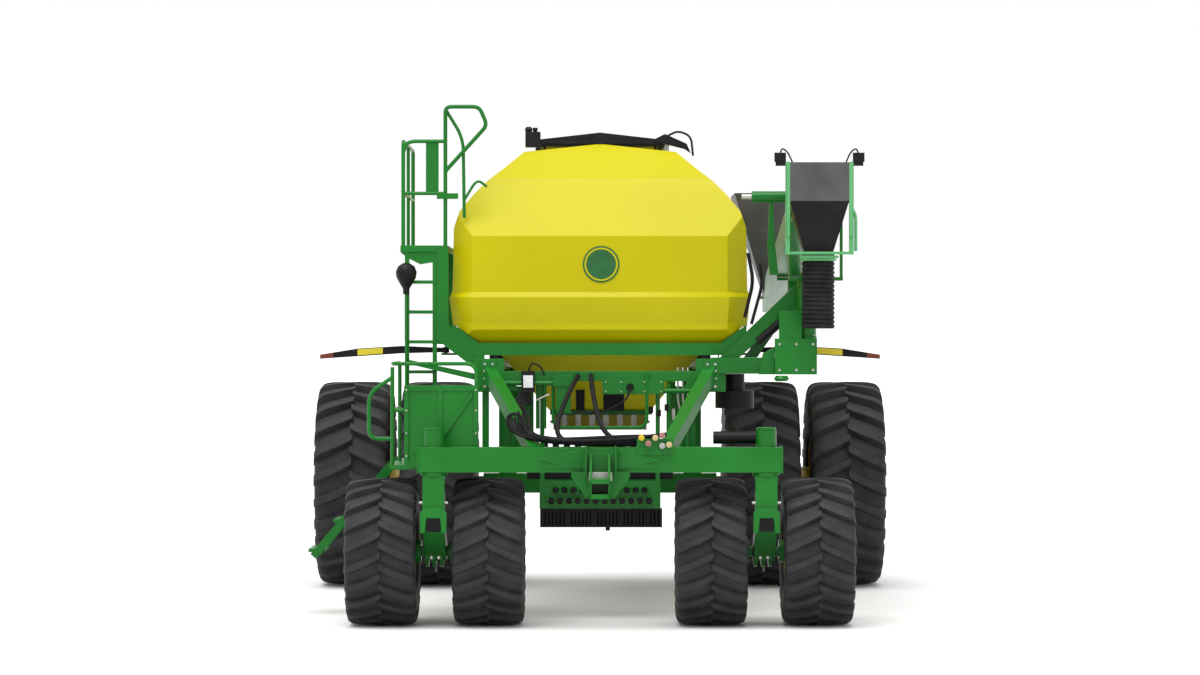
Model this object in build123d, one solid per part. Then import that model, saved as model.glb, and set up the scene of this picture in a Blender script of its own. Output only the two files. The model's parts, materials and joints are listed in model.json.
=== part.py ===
"""Tow-behind seed and grain air cart: three hopper tanks on a bolted frame, dual castering front
wheels, dual rear wheels, a swinging loading conveyor on the right, and stairs and walkways on the left.

Units are millimetres. +X is to the right when facing the same way as a viewer in front of the cart,
+Y runs from the hitch to the rear and +Z is up. The origin is on the ground under the middle.
"""
import math
import os

from build123d import *

os.makedirs("parts", exist_ok=True)

# ---- Driving dimensions ----
NOSE_OVERHANG = 1050.0  # hitch nose to front axle
WHEELBASE = 5400.0
TAIL_OVERHANG = 1750.0  # rear axle to the intake hopper's rear edge
NOSE_Y = -(NOSE_OVERHANG + WHEELBASE + TAIL_OVERHANG) / 2
FRONT_AXLE_Y = NOSE_Y + NOSE_OVERHANG
REAR_AXLE_Y = FRONT_AXLE_Y + WHEELBASE
TAIL_Y = REAR_AXLE_Y + TAIL_OVERHANG
RUNNING = 0.08  # radial clearance of a pin in its bore
GAP = 2.0  # end clearance of parts that turn on each other

CASTER_X = 1450.0
CASTER_TRAIL = 450.0
KINGPIN_R = 60.0
FRONT_TYRE_R = 650.0
FRONT_TYRE_W = 650.0
FRONT_RIM_R = 336.0
FRONT_DUAL_HALF = 470.0
FRONT_AXLE_R = 45.0
LEG_HALF = 95.0

REAR_TYRE_R = 1042.0
REAR_TYRE_W = 790.0
REAR_RIM_R = 483.0
REAR_INNER_X = 1650.0
REAR_OUTER_X = 2510.0
REAR_AXLE_R = 70.0
REAR_HUB_R = 165.0
AXLE_BOX_HALF = 100.0

BEAM_HALF = 1584.0
BEAM_DEPTH = 250.0
BEAM_Z = 1366.0
BEAM_H = 218.0
BEAM_WALL = 12.0
SLEEVE_R = 90.0
SLEEVE_RISE = 146.0
BEAM_Y = FRONT_AXLE_Y - CASTER_TRAIL
BEAM_TOP = BEAM_Z + BEAM_H
BEAM_FRONT = BEAM_Y - BEAM_DEPTH / 2
BEAM_BACK = BEAM_Y + BEAM_DEPTH / 2
HITCH_BORE_R = 27.0
HITCH_PLATE = 40.0
HITCH_Z = 1240.0

RAIL_IN = 900.0
RAIL_OUT = 1000.0
RAIL_Z = 2090.0
RAIL_TOP = 2330.0
RAIL_WALL = 8.0
CROSS_Z = 2148.0
CROSS_H = 90.0
MOUNT_H = 50.0
CRADLE_H = 110.0
CRADLE_W = 100.0
CRADLE_END = 1320.0
CRADLE_Z = RAIL_TOP + MOUNT_H
TANK_FLOOR = CRADLE_Z + CRADLE_H
BRACE_W = 115.0

TANK_SETBACK = 600.0  # front axle to the front tank's face
TANK_LENGTHS = (1750.0, 1860.0, 1790.0)
TANK_GAP = 10.0
TANK_WALL = 12.0
FACE_HALF = 1150.0
TANK_HALF = 1350.0
CORNER_DEPTH = 180.0
CHAMFER_FOOT = 1087.0  # half width of the tank floor
CHAMFER_END = 1329.0
CHAMFER_H = 175.0
HIP_DEPTH = 850.0
CREST = 1840.0  # tank floor to roof ridge
METER_HALF_X = 430.0
METER_HALF_Y = 130.0
METER_Z = 1690.0
METER_H = 140.0
ROLLER_R = 50.0
SHAFT_R = 15.0
NECK_HALF = 500.0
LID_HALF = 567.0
HINGE_X = 620.0
HINGE_R = 10.0

TUBE_R = 18.0
WALK_OUT = 1800.0
WALK_IN = 1370.0
WALK_Z = 3310.0
WALK_T = 60.0
PILLAR_W = 100.0
DECK_OUT = 1850.0
DECK_IN = 1060.0
DECK_Z = 1380.0
DECK_T = 40.0
DECK_LENGTH = 1950.0
STAIR_WIDTH = 620.0
STAIR_RUN = 730.0
STAIR_DROP = 860.0

CONVEYOR_X = 1930.0
CONVEYOR_HALF = 200.0
CONVEYOR_H = 280.0
CONVEYOR_WALL = 6.0
CONVEYOR_SLOPE = 7.4
HEAD_Z = 3800.0
MAST_X = 1850.0
MAST_R = 60.0
TILT_R = 30.0
CONVEYOR_ROLLER_R = 90.0
BELT_T = 8.0
HOOD_HALF = 260.0
SOCK_R = 145.0
SOCK_BOTTOM = 2620.0

FAN_X = 1220.0
FAN_R = 175.0
OUTLET_R = 34.0
OUTLET_PITCH = 80.0
OUTLET_HALF = CASTER_X - FRONT_DUAL_HALF - FRONT_TYRE_W / 2 - 110
HOSE_R = 22.0
HOSE_SPAN = 980.0  # crossmember's front to the middle of the beam, as the hose routes are drawn
HOSE_DROP = 609.0  # crossmember's middle to the top of the beam, likewise

TANK_FRONT = FRONT_AXLE_Y + TANK_SETBACK
TANK_EDGES = [TANK_FRONT + sum(TANK_LENGTHS[:n]) for n in range(4)]
TANK_TOP = TANK_FLOOR + CREST
RAIL_FRONT = TANK_FRONT - 70
RAIL_BACK = max(TANK_EDGES[3], REAR_AXLE_Y + 300) + 50


# ---- Helpers ----
def block(x, y, z):
    """A box between the pairs x, y and z, in either order."""
    (x0, x1), (y0, y1), (z0, z1) = sorted(x), sorted(y), sorted(z)
    return Pos((x0 + x1) / 2, (y0 + y1) / 2, (z0 + z1) / 2) * Box(x1 - x0, y1 - y0, z1 - z0)


def rod(start, end, radius):
    """A round bar between two points."""
    line = Vector(*end) - Vector(*start)
    plane = Plane(origin=start, z_dir=line)
    return plane * Cylinder(radius, line.length, align=(Align.CENTER, Align.CENTER, Align.MIN))


def square_bar(start, end, width):
    """A square bar between two points, with its sides upright."""
    line = Vector(*end) - Vector(*start)
    plane = Plane(origin=start, x_dir=Vector(line.Y, -line.X, 0), z_dir=line)
    return plane * Box(width, width, line.length, align=(Align.CENTER, Align.CENTER, Align.MIN))


def railing(points, radius):
    """Round tube along a line of points, with a ball at each bend."""
    tube = rod(points[0], points[1], radius)
    for start, end in zip(points[1:], points[2:]):
        tube += Pos(*start) * Sphere(radius)
        tube += rod(start, end, radius)
    return tube


def prism_xz(points, y0, y1):
    """An outline in X and Z carried from y0 to y1."""
    face = make_face(Polyline(*points, close=True))
    return extrude(Plane(origin=(0, y1, 0), x_dir=(1, 0, 0), z_dir=(0, -1, 0)) * face, y1 - y0)


def prism_yz(points, x0, x1):
    """An outline in Y and Z carried from x0 to x1."""
    face = make_face(Polyline(*points, close=True))
    return extrude(Plane(origin=(x0, 0, 0), x_dir=(0, 1, 0), z_dir=(1, 0, 0)) * face, x1 - x0)


def turned(points, y, z):
    """An outline of (x, radius) pairs turned about an axle along X."""
    return Pos(0, y, z) * revolve(make_face(Polyline(*points, close=True)), Axis.X)


def save(name, *solids):
    """Writes one sub-part and gives it back."""
    pieces = [piece for shape in solids for piece in shape.solids()]
    whole = pieces[0] if len(pieces) == 1 else Compound(children=pieces)
    export_step(whole, f"parts/{name}.step")
    return whole


# ---- Frame ----
def front_crossbeam():
    """Hollow cross beam with closed ends, fish plates and a sleeve for each kingpin."""
    beam = block((-BEAM_HALF, BEAM_HALF), (BEAM_FRONT, BEAM_BACK), (BEAM_Z, BEAM_TOP))
    wall = BEAM_WALL
    beam -= block(
        (-BEAM_HALF + wall, BEAM_HALF - wall),
        (BEAM_FRONT + wall, BEAM_BACK - wall),
        (BEAM_Z + wall, BEAM_TOP - wall),
    )
    for side in (-1, 1):
        fish = [(side * 160, BEAM_Z + 20), (side * 160, BEAM_TOP - 20), (side * 550, BEAM_Z + 110)]
        beam += prism_xz(fish, BEAM_FRONT - wall, BEAM_FRONT)
        x = side * CASTER_X
        top = BEAM_TOP + SLEEVE_RISE
        beam += rod((x, BEAM_Y, BEAM_Z), (x, BEAM_Y, top), SLEEVE_R)
        beam -= rod((x, BEAM_Y, BEAM_Z - 5), (x, BEAM_Y, top + 5), KINGPIN_R + RUNNING)
    return beam


def hitch_clevis():
    """Side plates on the beam's front with two jaws for the upright hitch pin."""
    jaw_y = NOSE_Y + 90
    clevis = block((-140, 140), (BEAM_FRONT - 25, BEAM_FRONT), (HITCH_Z - 100, BEAM_TOP - 40))
    for side in (-1, 1):
        plate = [
            (BEAM_FRONT - 25, BEAM_TOP - 60),
            (jaw_y, HITCH_Z + 85),
            (jaw_y, HITCH_Z - 85),
            (BEAM_FRONT - 25, HITCH_Z - 100),
        ]
        x0, x1 = sorted((side * 70, side * 90))
        clevis += prism_yz(plate, x0, x1)
    for z in (HITCH_Z - 85, HITCH_Z + 85 - HITCH_PLATE):
        clevis += block((-90, 90), (jaw_y, BEAM_FRONT - 25), (z, z + HITCH_PLATE))
        clevis += rod((0, jaw_y, z), (0, jaw_y, z + HITCH_PLATE), 90)
    clevis -= block((-69.9, 69.9), (NOSE_Y, BEAM_FRONT - 60), (HITCH_Z - 45, HITCH_Z + 45))
    return clevis - rod((0, jaw_y, HITCH_Z - 200), (0, jaw_y, HITCH_Z + 200), HITCH_BORE_R)


def frame_rails():
    """Two long box rails, each with a corner plate at its front end."""
    rails = []
    for side in (-1, 1):
        rail = block((side * RAIL_IN, side * RAIL_OUT), (RAIL_FRONT, RAIL_BACK), (RAIL_Z, RAIL_TOP))
        rail -= block(
            (side * (RAIL_IN + RAIL_WALL), side * (RAIL_OUT - RAIL_WALL)),
            (RAIL_FRONT - 5, RAIL_BACK + 5),
            (RAIL_Z + RAIL_WALL, RAIL_TOP - RAIL_WALL),
        )
        rail += block((side * 860, side * 1130), (RAIL_FRONT - 12, RAIL_FRONT), (RAIL_Z - 40, RAIL_TOP + 20))
        rails.append(rail)
    return rails


def frame_crossmembers():
    """Box tubes between the rails under the ends of the tanks."""
    tubes = []
    for place in (RAIL_FRONT + 45, TANK_EDGES[1], TANK_EDGES[2], TANK_EDGES[3] - 45):
        y = (place - 45, place + 45)
        tube = block((-RAIL_IN, RAIL_IN), y, (CROSS_Z, CROSS_Z + CROSS_H))
        inside = (CROSS_Z + RAIL_WALL, CROSS_Z + CROSS_H - RAIL_WALL)
        tube -= block((-RAIL_IN - 1, RAIL_IN + 1), (y[0] + RAIL_WALL, y[1] - RAIL_WALL), inside)
        tubes.append(tube)
    return tubes


def front_braces():
    """Square braces from the rails' corner plates down and forward to the cross beam."""
    braces = []
    plate_y = RAIL_FRONT - 12
    for side in (-1, 1):
        foot = Vector(side * 600, BEAM_BACK - 25, BEAM_TOP)
        head = Vector(side * 985, plate_y, RAIL_Z + 120)
        reach = (head - foot).normalized() * 250
        brace = square_bar(tuple(foot - reach), tuple(head + reach), BRACE_W)
        keep = block((-2000, 2000), (BEAM_FRONT, plate_y), (BEAM_TOP, RAIL_TOP + 300))
        brace -= square_bar(tuple(foot - reach * 2), tuple(head + reach * 2), BRACE_W - 2 * RAIL_WALL)
        braces.append(brace & keep)
    return braces


def rear_axle():
    """Axle box with a spindle and collar on each side, on two risers under the rails."""
    half = AXLE_BOX_HALF
    y = (REAR_AXLE_Y - half, REAR_AXLE_Y + half)
    axle = block((-1200, 1200), y, (REAR_TYRE_R - half, REAR_TYRE_R + half))
    inner = half - 20
    inside = (REAR_AXLE_Y - inner, REAR_AXLE_Y + inner)
    axle -= block((-1150, 1150), inside, (REAR_TYRE_R - inner, REAR_TYRE_R + inner))
    for side in (-1, 1):
        axle += block((side * 860, side * 1040), y, (REAR_TYRE_R + half, RAIL_Z))
        end = REAR_OUTER_X + 110 + GAP
        middle = (REAR_AXLE_Y, REAR_TYRE_R)
        axle += rod((side * 1200, *middle), (side * (end + 18), *middle), REAR_AXLE_R)
        axle += rod((side * end, *middle), (side * (end + 18), *middle), 100)
    return axle


def cradle_places():
    """Middle of each saddle along the cart."""
    half = CRADLE_W / 2
    return (TANK_EDGES[0] + half + 10, TANK_EDGES[1], TANK_EDGES[2], TANK_EDGES[3] - half - 10)


def tank_cradle():
    """Saddles with upturned ends under the tanks, joined by two stringers."""
    foot = CHAMFER_FOOT + 8
    rise = (CRADLE_END - foot) * CHAMFER_H / (CHAMFER_END - CHAMFER_FOOT)
    right = [
        (foot + 5, CRADLE_Z),
        (CRADLE_END, CRADLE_Z + 170),
        (CRADLE_END, TANK_FLOOR + rise),
        (foot, TANK_FLOOR),
    ]
    outline = right + [(-x, z) for x, z in reversed(right)]
    places = cradle_places()
    cradle = None
    for place in places:
        saddle = prism_xz(outline, place - CRADLE_W / 2, place + CRADLE_W / 2)
        inside = (place - CRADLE_W / 2 + RAIL_WALL, place + CRADLE_W / 2 - RAIL_WALL)
        saddle -= block((-980, 980), inside, (CRADLE_Z + RAIL_WALL, TANK_FLOOR - RAIL_WALL))
        cradle = saddle if cradle is None else cradle + saddle
    for side in (-1, 1):
        cradle += block((side * 1010, side * 1080), (places[0], places[3]), (CRADLE_Z, CRADLE_Z + 80))
        arm_y = TANK_FRONT + 250
        cradle += block((side * 1080, side * 1440), (arm_y - 30, arm_y + 30), (CRADLE_Z, CRADLE_Z + 20))
        cradle += rod((side * 1400, arm_y, CRADLE_Z + 20), (side * 1400, arm_y, CRADLE_Z + 80), 14)
    return cradle


def rubber_mounts():
    """Rubber pucks between the rails and the saddles."""
    middle = (RAIL_IN + RAIL_OUT) / 2
    spots = [(side * middle, y) for side in (-1, 1) for y in cradle_places()]
    return [rod((x, y, RAIL_TOP), (x, y, CRADLE_Z), 48) for x, y in spots]


# ---- Tanks ----
def tank_section(inset):
    """Cross-section of a tank above its floor, taken in by inset on every side."""
    right = [
        (CHAMFER_FOOT, 0), (CHAMFER_END, CHAMFER_H), (TANK_HALF, 390), (TANK_HALF, 450),
        (1335, 475), (1324, 1040),
        (1269, 1200), (1145, 1355), (1023, 1480), (879, 1600), (700, CREST - 80),
    ]
    right = [(x, TANK_FLOOR + z) for x, z in right]
    outline = [*right, (0, TANK_TOP)] + [(-x, z) for x, z in reversed(right)]
    return offset_outline(outline, inset)


def offset_outline(points, inset):
    """The outline as a face, taken in with its corners kept sharp."""
    face = make_face(Polyline(*points, close=True))
    return offset(face, amount=-inset, kind=Kind.INTERSECTION) if inset else face


def tank_form(n, inset):
    """A tank's outer form: its cross-section, side outline and plan outline in common."""
    y0, y1 = TANK_EDGES[n] + TANK_GAP / 2, TANK_EDGES[n + 1] - TANK_GAP / 2
    hip_front, hip_rear = n == 0, n == len(TANK_LENGTHS) - 1
    low, high = TANK_FLOOR, TANK_TOP + 100
    front, rear = [(y0, low), (y0, high)], [(y1, high), (y1, low)]
    plan_front = [(-1400, y0), (1400, y0)]
    plan_rear = [(1400, y1), (-1400, y1)]
    hip = [(0, 120), (0, 965), (HIP_DEPTH * 0.45, 1500), (HIP_DEPTH, CREST), (HIP_DEPTH, CREST + 100)]
    corner = CORNER_DEPTH * 250 / (TANK_HALF - FACE_HALF)
    if hip_front:
        front = [(y0 + 110, low)] + [(y0 + d, low + h) for d, h in hip]
        plan_front = [(-1400, y0 + corner), (-FACE_HALF, y0), (FACE_HALF, y0), (1400, y0 + corner)]
    if hip_rear:
        rear = [(y1 - d, low + h) for d, h in reversed(hip)] + [(y1 - 110, low)]
        plan_rear = [(1400, y1 - corner), (FACE_HALF, y1), (-FACE_HALF, y1), (-1400, y1 - corner)]
    across = Plane(origin=(0, y1 + 10, 0), x_dir=(1, 0, 0), z_dir=(0, -1, 0)) * tank_section(inset)
    beside = Plane(origin=(-1500, 0, 0), x_dir=(0, 1, 0), z_dir=(1, 0, 0))
    along = beside * offset_outline(front + rear, inset)
    above = Pos(0, 0, low - 10) * offset_outline(plan_front + plan_rear, inset)
    return extrude(across, y1 - y0 + 20) & extrude(along, 3000) & extrude(above, CREST + 200)


def funnel(n, inset):
    """Four-sided funnel from a tank's floor to its meter."""
    y0, y1 = TANK_EDGES[n], TANK_EDGES[n + 1]
    middle = (y0 + y1) / 2
    over = 1 if inset else 0
    top = Rectangle(2 * (990 - inset), y1 - y0 - 280 - 2 * inset)
    foot = Rectangle(2 * (METER_HALF_X - inset), 2 * (METER_HALF_Y - inset))
    bottom = METER_Z + METER_H
    return loft([Pos(0, middle, bottom - over) * foot, Pos(0, middle, TANK_FLOOR + over) * top])


def neck_range(n):
    """Front and rear of a tank's filling neck."""
    front = TANK_EDGES[n] + (HIP_DEPTH + 60 if n == 0 else 200)
    rear = TANK_EDGES[n + 1] - (HIP_DEPTH + 60 if n == len(TANK_LENGTHS) - 1 else 200)
    return front, rear


def tank(n):
    """Hollow tank with a filling neck in its roof and an open funnel foot."""
    front, rear = neck_range(n)
    shell = tank_form(n, 0) + funnel(n, 0)
    shell += block((-NECK_HALF, NECK_HALF), (front, rear), (TANK_TOP - 90, TANK_TOP + 20))
    shell -= tank_form(n, TANK_WALL)
    shell -= funnel(n, TANK_WALL)
    hole = TANK_WALL + 6
    shell -= block(
        (-NECK_HALF + hole, NECK_HALF - hole), (front + hole, rear - hole), (TANK_TOP - 250, TANK_TOP + 50)
    )
    middle = (TANK_EDGES[n] + TANK_EDGES[n + 1]) / 2
    reach = (TANK_EDGES[n + 1] - TANK_EDGES[n]) / 2 - 180
    shell -= block((-950, 950), (middle - reach, middle + reach), (TANK_FLOOR - 1, TANK_FLOOR + 20))
    return shell


def hinge_spots(n):
    """Middle of each of a lid's two hinge barrels along the cart."""
    front, rear = neck_range(n)
    return front + 100, rear - 100


def lid(n):
    """Peaked lid panel with its latch block, four rim strips and two hinge barrels."""
    front, rear = neck_range(n)
    under = TANK_TOP + 20 + GAP
    eaves = [(-LID_HALF, under), (LID_HALF, under), (LID_HALF, under + 20)]
    peak = [*eaves, (0, under + 84), (-LID_HALF, under + 20)]
    cover = prism_xz(peak, front - 40, rear + 40)
    hollow = [(-520, under - 1), (520, under - 1), (520, under + 12), (0, under + 76), (-520, under + 12)]
    cover -= prism_xz(hollow, front - 18, rear + 18)
    middle = (front + rear) / 2
    latch = block((-LID_HALF - 60, -LID_HALF), (middle - 60, middle + 60), (under - 20, under + 60))
    low = TANK_TOP + 3 - 80
    roof = [(-700, low), (0, low + 80), (700, low), (700, low - 300), (-700, low - 300)]
    roof_way = prism_xz(roof, front - 60, rear + 60)
    foot = (under - 45, under)
    rim = [
        block((520, 545), (front - 40, rear + 40), foot),
        block((-545, -520), (front - 40, rear + 40), foot),
        block((-520, 520), (front - 40, front - 18), foot),
        block((-520, 520), (rear + 18, rear + 40), foot),
    ]
    barrels = []
    for y in hinge_spots(n):
        barrel = block((545, HINGE_X), (y - 25, y + 25), (TANK_TOP - 12, under))
        barrel += rod((HINGE_X, y - 25, TANK_TOP), (HINGE_X, y + 25, TANK_TOP), 24)
        barrel -= rod((HINGE_X, y - 40, TANK_TOP), (HINGE_X, y + 40, TANK_TOP), HINGE_R + RUNNING)
        barrels.append(barrel - cover)
    return [cover, latch - roof_way, *[strip - roof_way for strip in rim], *barrels]


def lid_hinges(tanks):
    """Two forked brackets with a pin on each tank's roof."""
    brackets = []
    for n, shell in enumerate(tanks):
        for y in hinge_spots(n):
            bracket = rod((HINGE_X, y - 40, TANK_TOP), (HINGE_X, y + 40, TANK_TOP), HINGE_R)
            for start in (y - 40, y + 28):
                fork = (start, start + 12)
                bracket += block((HINGE_X - 20, HINGE_X + 20), fork, (TANK_TOP - 90, TANK_TOP + 20))
            bracket += block((HINGE_X - 20, HINGE_X + 20), (y - 40, y + 40), (TANK_TOP - 90, TANK_TOP - 30))
            brackets.append(max((bracket - shell).solids(), key=lambda piece: piece.center().Z))
    return brackets


def meter_middle(n):
    """Middle of a meter along the cart."""
    return (TANK_EDGES[n] + TANK_EDGES[n + 1]) / 2


def meter_housing(n):
    """Open-ended meter box with a bore in each end for the roller's shaft."""
    y, top = meter_middle(n), METER_Z + METER_H
    box = block((-METER_HALF_X, METER_HALF_X), (y - METER_HALF_Y, y + METER_HALF_Y), (METER_Z, top))
    inner = (METER_HALF_X - 10, METER_HALF_Y - 10)
    box -= block((-inner[0], inner[0]), (y - inner[1], y + inner[1]), (METER_Z - 5, top + 5))
    z = METER_Z + METER_H / 2
    return box - rod((-600, y, z), (600, y, z), SHAFT_R + RUNNING)


def meter_roller(n):
    """Fluted metering roller on its shaft."""
    y, z = meter_middle(n), METER_Z + METER_H / 2
    reach = METER_HALF_X - 10 - GAP
    roller = rod((-reach, y, z), (reach, y, z), ROLLER_R)
    for flute in range(8):
        angle = math.tau * flute / 8
        place = (y + ROLLER_R * math.cos(angle), z + ROLLER_R * math.sin(angle))
        roller -= rod((-reach - 5, *place), (reach + 5, *place), 11)
    return roller + rod((-METER_HALF_X - 30, y, z), (METER_HALF_X + 30, y, z), SHAFT_R)


# ---- Air system ----
def outlet_plate():
    """Plate with two rows of tube stubs, and the two straps it hangs by from the front crossmember."""
    y = RAIL_FRONT + 50
    plate = block((-OUTLET_HALF, OUTLET_HALF), (y, y + 12), (1000, 1250))
    plate += block((-OUTLET_HALF, OUTLET_HALF), (y, y + 60), (1000, 1010))
    count = int(2 * (OUTLET_HALF - OUTLET_R) / OUTLET_PITCH)
    for row, z in enumerate((1070, 1165)):
        for n in range(count - row):
            x = (n - (count - 1 - row) / 2) * OUTLET_PITCH
            plate += rod((x, y - 40, z), (x, y + 90, z), OUTLET_R)
            plate -= rod((x, y - 50, z), (x, y + 100, z), OUTLET_R - 4)
    straps = []
    for side in (-1, 1):
        x = (side * (OUTLET_HALF - 45), side * (OUTLET_HALF - 5))
        straps.append(block(x, (y, y + 12), (1250, CROSS_Z)))
    return plate, *straps


def tube_rack():
    """Ribbed rack below the outlet plate that keeps the air tubes apart."""
    y = (RAIL_FRONT + 50, RAIL_FRONT + 130)
    left, pitch = 5 - OUTLET_HALF, 120
    right = left + pitch * int((2 * OUTLET_HALF - 10) / pitch) + 20
    rack = block((left, right), y, (980, 1000)) + block((left, right), y, (830, 850))
    for n in range(int((right - left) / pitch) + 1):
        x = left + n * pitch
        rack += block((x, x + 20), y, (850, 980))
    return rack


def fan_y():
    """Place of the fan along the cart."""
    return TANK_FRONT + 200


def fan_housing():
    """Fan drum with an open inlet below, an outlet duct, and a motor on a bracket to the right rail."""
    y = fan_y()
    drum = rod((FAN_X, y, 1900), (FAN_X, y, 2060), FAN_R)
    duct = block((FAN_X - 60, FAN_X + 100), (y, y + 420), (1920, 2040))
    shell = drum + duct
    shell -= rod((FAN_X, y, 1906), (FAN_X, y, 2054), FAN_R - 6)
    shell -= block((FAN_X - 54, FAN_X + 94), (y, y + 430), (1926, 2034))
    shell -= rod((FAN_X, y, 1890), (FAN_X, y, 1910), 110)
    shell += rod((FAN_X, y, 2060), (FAN_X, y, 2210), 90)
    shell += block((RAIL_OUT, FAN_X), (y - 60, y + 60), (2110, 2200))
    return shell - rod((FAN_X, y, 2000), (FAN_X, y, 2150), 12 + RUNNING)


def fan_impeller():
    """Fan wheel with straight blades on an upright shaft."""
    y = fan_y()
    wheel = rod((FAN_X, y, 2036), (FAN_X, y, 2044), 140)
    for n in range(10):
        blade = block((45, 140), (-3, 3), (1930, 2036))
        wheel += Pos(FAN_X, y, 0) * Rot(0, 0, 36 * n) * blade
    wheel += rod((FAN_X, y, 1930), (FAN_X, y, 2036), 50)
    return wheel + rod((FAN_X, y, 2044), (FAN_X, y, 2140), 12)


# ---- Walkways ----
def pan(x, y, z, wall):
    """A deck plate with a turned-down edge."""
    (x0, x1), (y0, y1) = sorted(x), sorted(y)
    inside = block((x0 + wall, x1 - wall), (y0 + wall, y1 - wall), (z[0] - 1, z[1] - wall))
    return block(x, y, z) - inside


def upper_platform():
    """Walkway beside the tanks on two pillars that stand on the saddles' left ends."""
    places = cradle_places()
    y = (places[0] - PILLAR_W / 2, places[1] + PILLAR_W / 2)
    deck = pan((-WALK_OUT, -WALK_IN), y, (WALK_Z, WALK_Z + WALK_T), RAIL_WALL)
    for place in places[:2]:
        pillar_y = (place - PILLAR_W / 2, place + PILLAR_W / 2)
        deck += block((-WALK_IN - PILLAR_W, -WALK_IN), pillar_y, (CRADLE_Z + 100, WALK_Z + WALK_T - 4))
        deck += block((-WALK_IN, -CRADLE_END), pillar_y, (CRADLE_Z + 175, CRADLE_Z + 255))
    return deck


def upper_guard_rail():
    """Posts, rails, kick panel and the tall grab loop of the walkway."""
    places = cradle_places()
    front, rear = places[0] - 25, places[1] + 25
    floor, out, inner = WALK_Z + WALK_T, -WALK_OUT + 25, -WALK_IN - 25
    top, mid = floor + 940, floor + 470
    rail = railing([(out, front, floor), (out, front, top), (out, rear, top), (out, rear, floor)], TUBE_R)
    middle = (front + rear) / 2
    slim = TUBE_R - 2
    rail += rod((out, middle, floor), (out, middle, top), slim)
    rail += rod((out, front, mid), (out, rear, mid), slim)
    for z in (top, mid):
        rail += rod((out, front, z), (inner, front, z), slim)
    loop = [
        (inner, front, floor), (inner, front, floor + 1252), (-1090, front, floor + 1252),
        (-1018, front, floor + 1085), (inner + 5, front, floor + 675),
    ]
    rail += railing(loop[:3], TUBE_R)
    rail += railing(loop[2:], slim) + Pos(*loop[2]) * Sphere(TUBE_R)
    return rail + block((-1570, -1455), (front - 4, front + 4), (mid, top))


def ladder():
    """Ladder between the two platforms."""
    y = cradle_places()[0] - 20
    left, right = -1740, -1490
    steps = None
    for x in (left, right):
        stringer = block((x - 20, x + 20), (y - 20, y + 20), (DECK_Z + DECK_T, WALK_Z))
        steps = stringer if steps is None else steps + stringer
    count = math.ceil((WALK_Z - DECK_Z - DECK_T) / 270) - 1
    for n in range(1, count + 1):
        z = DECK_Z + DECK_T + 270 * n
        steps += rod((left, y, z), (right, y, z), 15)
    return steps


DECK_FRONT = BEAM_BACK + 75
DECK_BACK = DECK_FRONT + DECK_LENGTH
STAIR_Y = (DECK_BACK - 40 - STAIR_WIDTH, DECK_BACK - 40)
STAIR_PIN = (-DECK_OUT - 40, DECK_Z + 20)


def lower_platform():
    """Landing beside the frame with its brackets, front panel and the stair's hinge pin."""
    deck = pan((-DECK_OUT, -DECK_IN), (DECK_FRONT, DECK_BACK), (DECK_Z, DECK_Z + DECK_T), RAIL_WALL)
    deck += block((-BEAM_HALF, -1300), (BEAM_BACK, DECK_FRONT), (DECK_Z, DECK_Z + DECK_T))
    deck += block((-DECK_IN, -RAIL_OUT), (RAIL_FRONT + 40, RAIL_FRONT + 100), (DECK_Z, RAIL_TOP - 80))
    deck += block((-1720, -1070), (DECK_FRONT + 10, DECK_FRONT + 20), (DECK_Z + DECK_T, DECK_Z + 740))
    x, z = STAIR_PIN
    for y in (STAIR_Y[0] - 30, STAIR_Y[1] + 5):
        deck += block((x - 20, -DECK_OUT), (y, y + 25), (DECK_Z, DECK_Z + DECK_T))
    return deck + rod((x, STAIR_Y[0] - 30, z), (x, STAIR_Y[1] + 30, z), 12)


def lower_guard_rail():
    """Guard rails of the landing, with an outward grab bail."""
    floor, out, inner, front = DECK_Z + DECK_T, -DECK_OUT + 25, -DECK_IN - 25, DECK_FRONT + 40
    top, mid, rear = floor + 890, floor + 480, STAIR_Y[0] - 60
    rail = railing([(inner, front, floor), (inner, front, top), (out, front, top), (out, rear, top)], TUBE_R)
    rail += railing([(out, rear, top), (out, rear, floor)], TUBE_R) + Pos(out, rear, top) * Sphere(TUBE_R)
    rail += rod((out, front, floor), (out, front, top), TUBE_R)
    rail += rod((inner, front, mid), (out, front, mid), TUBE_R)
    rail += rod((out, front, mid), (out, rear, mid), TUBE_R)
    bail = [(out, front, floor + 770), (-2030, front, floor + 770), (-2030, front, floor + 230)]
    return rail + railing([*bail, (out, front, floor + 230)], TUBE_R)


def folding_stairs():
    """Stair with two stringers that turn on the landing's hinge pin."""
    x, z = STAIR_PIN
    length = math.hypot(STAIR_RUN, STAIR_DROP)
    slope = math.degrees(math.atan2(STAIR_DROP, STAIR_RUN))
    stair = None
    for y in (STAIR_Y[0] + 5, STAIR_Y[1] - 25):
        side = block((-length, 0), (y, y + 20), (-35, 35)) + rod((0, y, 0), (0, y + 20, 0), 35)
        stair = side if stair is None else stair + side
    stair = Pos(x, 0, z) * Rot(0, -slope, 0) * stair
    for n in range(1, 4):
        share = n / 3.2
        tread_x, tread_z = x - STAIR_RUN * share, z - STAIR_DROP * share
        between = (STAIR_Y[0] + 25, STAIR_Y[1] - 25)
        stair += block((tread_x - 90, tread_x + 60), between, (tread_z - 15, tread_z + 15))
    return stair - rod((x, STAIR_Y[0] - 40, z), (x, STAIR_Y[1] + 40, z), 12 + RUNNING)


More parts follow.
